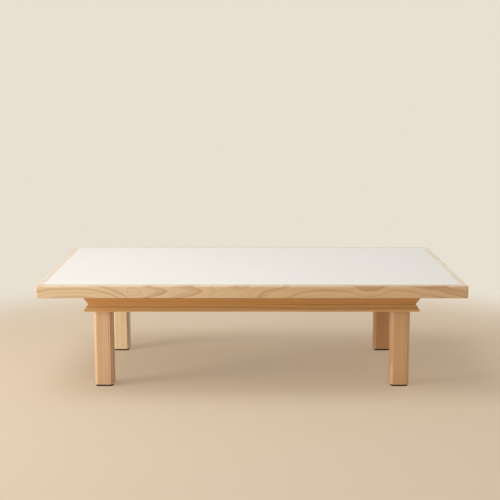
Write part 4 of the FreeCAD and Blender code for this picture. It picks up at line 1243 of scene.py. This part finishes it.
    def terminals(self) -> Shape:
        """A block with three wells, a screw's width each, and ribs between them.

        Returns:
            Its shape.
        """
        low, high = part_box("terminal_block")
        size, centre = high - low, (low + high) / 2
        shape = Shape()
        bmesh.ops.create_grid(shape.mesh, x_segments=3, y_segments=1, size=0.5)
        upper = bmesh.ops.extrude_face_region(shape.mesh, geom=list(shape.mesh.faces))["geom"]
        for item in upper:
            if isinstance(item, bmesh.types.BMVert):
                item.co.z = 1.0
        shape.moved(Matrix.Translation((centre.x, centre.y, low.z)) @ Matrix.Diagonal((*size, 1)))
        bmesh.ops.recalc_face_normals(shape.mesh, faces=shape.mesh.faces)
        wells = [face for face in shape.mesh.faces if face.normal.z < -0.9]
        bmesh.ops.inset_individual(shape.mesh, faces=wells, thickness=self.well_wall, depth=0.0)
        bmesh.ops.inset_individual(shape.mesh, faces=wells, thickness=self.well_slope, depth=-self.well_depth)
        return shape

    def pins(self) -> Shape:
        """Round-ended pins in the inlet's recess.

        Returns:
            All three.
        """
        low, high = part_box("inlet_pins")
        length, radius, edge = high.y - low.y, (high.z - low.z) / 2, self.pin_edge
        nose = [(radius * share, length - back) for share, back in self.pin_nose]
        pin = Shape().turned([(0, 0), (radius - edge, 0), (radius, edge), *nose, (0, length)], sides=20)
        return Shape().add(pin, *(pointing((x, low.y, (low.z + high.z) / 2), (0, 1, 0))
                                  for x in self.pin_places))


@dataclass
class Fan:
    """The fan and its shaft, which turn about Z. Lengths in metres, pitch and twist in degrees."""

    base: float = 0.286
    hub_radius: float = 0.012
    hub_height: float = 0.014
    hub_nose: Points = ((0.55, 0.0), (0.86, 0.0009), (1.0, 0.0032))
    hub_wall: float = 0.0018
    hub_hollow: float = 0.6
    sleeve: float = 0.0050
    sleeve_end: float = 0.0046
    bore: float = 0.00205
    blades: int = 5
    reach: float = 0.043
    root: float = 0.92
    thickness: float = 0.0013
    pitch: float = 40.0
    twist: float = 17.0
    root_half_chord: float = 0.0085
    widening: float = 0.0045
    camber: float = 0.0014
    round_from: float = 0.7
    rounding: tuple[float, float] = (0.07, 0.16)
    shaft_edge: float = 0.0004

    def build(self) -> None:
        """Makes the fan and its shaft."""
        self.impeller().piece("twisted_blade_fan", FAN_PLASTIC, "fan_impeller", Body.FAN)
        low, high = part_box("fan_shaft")
        length, radius, edge = high.z - low.z, (high.x - low.x) / 2, self.shaft_edge
        shaft = Shape().turned([(0, 0), (radius - edge, 0), (radius, edge), (radius, length - edge),
                                (radius - edge, length), (0, length)], sides=20)
        shaft.moved(Matrix.Translation((0, 0, low.z)))
        shaft.piece("chamfered_fan_shaft", ZINC, "fan_shaft", Body.FAN)

    def impeller(self) -> Shape:
        """A hub with a rounded nose and twisted blades round it.

        Returns:
            Its shape.
        """
        radius, height, bore = self.hub_radius, self.hub_height, self.bore
        nose = [(radius * share, level) for share, level in self.hub_nose]
        inner, hollow = radius - self.hub_wall, height * self.hub_hollow
        whole = Shape().turned([(bore, 0), *nose, (radius, height), (inner, height), (inner, hollow),
                                (self.sleeve, hollow), (self.sleeve_end, height), (bore, height), (bore, 0)],
                               sides=30)
        whole.add(self.blade(), *(Matrix.Rotation(FULL_TURN * number / self.blades, 4, "Z")
                                  for number in range(self.blades)))
        return whole.moved(Matrix.Translation((0, 0, self.base)))

    def blade(self) -> Shape:
        """One blade: steep and narrow at the hub, flatter and wide at its tip.

        Returns:
            Its shape.
        """
        shape = Shape()
        bmesh.ops.create_grid(shape.mesh, x_segments=10, y_segments=8, size=1.0)
        root = self.hub_radius * self.root
        for point in shape.mesh.verts:
            out, chord = (point.co.x + 1) / 2, point.co.y
            distance = root + out * (self.reach - root) * (1 - self.rounding[0] * chord * chord * out)
            pitch = math.radians(self.pitch - self.twist * out)
            narrow = 1 - self.rounding[1] * max(0.0, out - self.round_from) / (1 - self.round_from)
            half = (self.root_half_chord + self.widening * out) * narrow
            camber = self.camber * (1 - chord * chord)
            angle = chord * half * math.cos(pitch) / distance
            point.co = Vector((distance * math.cos(angle), distance * math.sin(angle),
                               self.hub_height / 2 + chord * half * math.sin(pitch) + camber))
        bmesh.ops.recalc_face_normals(shape.mesh, faces=shape.mesh.faces)
        bmesh.ops.solidify(shape.mesh, geom=list(shape.mesh.faces), thickness=self.thickness)
        return shape.mended()


# The studio


@dataclass(frozen=True)
class Lamp:
    """A soft square lamp. Lengths in metres, power in watts."""

    name: str
    place: tuple[float, float, float]
    target: tuple[float, float, float]
    size: float
    power: float
    colour: Colour

    def build(self) -> None:
        """Hangs the lamp and turns it to its target."""
        data = bpy.data.lights.new(self.name, "AREA")
        data.size, data.energy, data.color = self.size, self.power, self.colour
        lamp = bpy.data.objects.new(self.name, data)
        lamp.location = self.place
        lamp.rotation_euler = (Vector(self.target) - Vector(self.place)).to_track_quat("-Z", "Y").to_euler()
        bpy.context.scene.collection.objects.link(lamp)


@dataclass
class Studio:
    """A pale floor, soft lamps and the camera. Lengths in metres."""

    lens: float = 80.11
    sensor: float = 36.0
    camera_place: tuple[float, float, float] = (-0.0069, -4.235, 1.1062)
    pitch: float = 8.733
    floor_radius: float = 14.0
    fade_centre: tuple[float, float, float] = (0.0, -0.5, 0.0)
    fade: tuple[float, float] = (1.35, 2.4)
    floor_colour: Colour = srgb(226, 211, 189)
    floor_drift: float = 0.96
    # Painted light: the colour of a glow, seen only by the camera, that lifts the floor's shadow near the
    # table, and how strong it is
    floor_shadow_glow: Colour = srgb(216, 190, 158)
    haze: float = 0.4
    background: Colour = srgb(232, 224, 208)
    horizon: Colour = (0.96, 0.945, 0.925)
    zenith: Colour = (0.26, 0.257, 0.253)
    lamps: tuple[Lamp, ...] = (
        Lamp("window_light", (-3.5, -1.45, 0.78), (0, 0.05, 0.25), 1.4, 91.0, (1.0, 0.975, 0.945)),
        Lamp("overhead_light", (-1.3, -0.6, 3.5), (0, 0, 0.3), 2.6, 60.0, (1.0, 0.99, 0.98)))

    def build(self) -> None:
        """Makes the floor, the world, the lamps and the camera."""
        self.floor()
        self.world()
        for lamp in self.lamps:
            lamp.build()
        self.camera()
        bpy.context.scene.view_settings.view_transform = "Standard"

    def floor(self) -> None:
        """A wide pale disc that melts into the background far from the table."""
        mesh = bpy.data.meshes.new("floor")
        disc = bmesh.new()
        bmesh.ops.create_circle(disc, cap_ends=True, radius=self.floor_radius, segments=96)
        disc.to_mesh(mesh)
        disc.free()
        mesh.materials.append(self.floor_material())
        floor = bpy.data.objects.new("floor", mesh)
        bpy.context.scene.collection.objects.link(floor)

    def floor_material(self) -> bpy.types.Material:
        """Pale matt floor: its haze, a glow of painted light that only the camera sees, lifts its shadow a
        little; far out the background takes over for the camera, and from below it isn't seen.

        Returns:
            The material.
        """
        tree = Tree.of_material("pale_floor")
        place = tree.place()
        drifted = tuple(part * self.floor_drift for part in self.floor_colour)
        colour = tree.mix(tree.noise(place, 1.3) * 0.25, self.floor_colour, drifted)
        ground = tree.node("ShaderNodeBsdfDiffuse", {}, {"Color": colour})
        away = tree.node("ShaderNodeVectorMath", {"operation": "DISTANCE"},
                         {0: place, 1: self.fade_centre}, 1)
        # Near the table the camera sees some painted light, a glow that lifts the shadow; far out it sees the
        # background
        far = away.step(*self.fade)
        tint = tree.mix(far, self.floor_shadow_glow, self.background)
        glow = tree.node("ShaderNodeEmission", {}, {"Color": tint, "Strength": 1.0})
        seen = tree.node("ShaderNodeLightPath")
        factor = (far * (1.0 - self.haze) + self.haze) * seen
        shown = tree.node("ShaderNodeMixShader", {}, {0: factor, 1: ground, 2: glow})
        clear = tree.node("ShaderNodeBsdfTransparent")
        below = tree.node("ShaderNodeNewGeometry").other("Backfacing")
        tree.end(tree.node("ShaderNodeMixShader", {}, {0: below * seen, 1: shown, 2: clear}))
        return tree.material

    def world(self) -> None:
        """Light from all round, strongest low down; the camera and reflections see the pale background."""
        world = bpy.data.worlds.new("studio")
        bpy.context.scene.world = world
        tree = Tree(world, "ShaderNodeOutputWorld")
        height = tree.node("ShaderNodeSeparateXYZ", {}, {0: tree.node("ShaderNodeTexCoord")}, 2)
        colour = tree.mix(height, self.horizon, self.zenith)
        light = tree.node("ShaderNodeBackground", {}, {"Color": colour, "Strength": 1.0})
        shown = tree.node("ShaderNodeBackground", {}, {"Color": self.background, "Strength": 1.0})
        path = tree.node("ShaderNodeLightPath")
        seen = path + path.other("Is Glossy Ray") + path.other("Is Transmission Ray")
        tree.end(tree.node("ShaderNodeMixShader", {}, {0: seen, 1: light, 2: shown}))

    def camera(self) -> None:
        """The camera, a little above the table and in front of it."""
        data = bpy.data.cameras.new("camera")
        data.lens, data.sensor_width = self.lens, self.sensor
        camera = bpy.data.objects.new("camera", data)
        camera.location = self.camera_place
        camera.rotation_euler = (math.radians(90 - self.pitch), 0, 0)
        bpy.context.scene.collection.objects.link(camera)
        bpy.context.scene.camera = camera


def main() -> None:
    """Builds the table's looks and the studio, in order."""
    logging.basicConfig(level=logging.INFO, format="%(message)s")
    for assembly in (Tabletop(), Underframe(), Heater(), Fan(), Studio()):
        LOG.info("building %s", type(assembly).__name__)
        assembly.build()


if __name__ == "__main__":
    main()
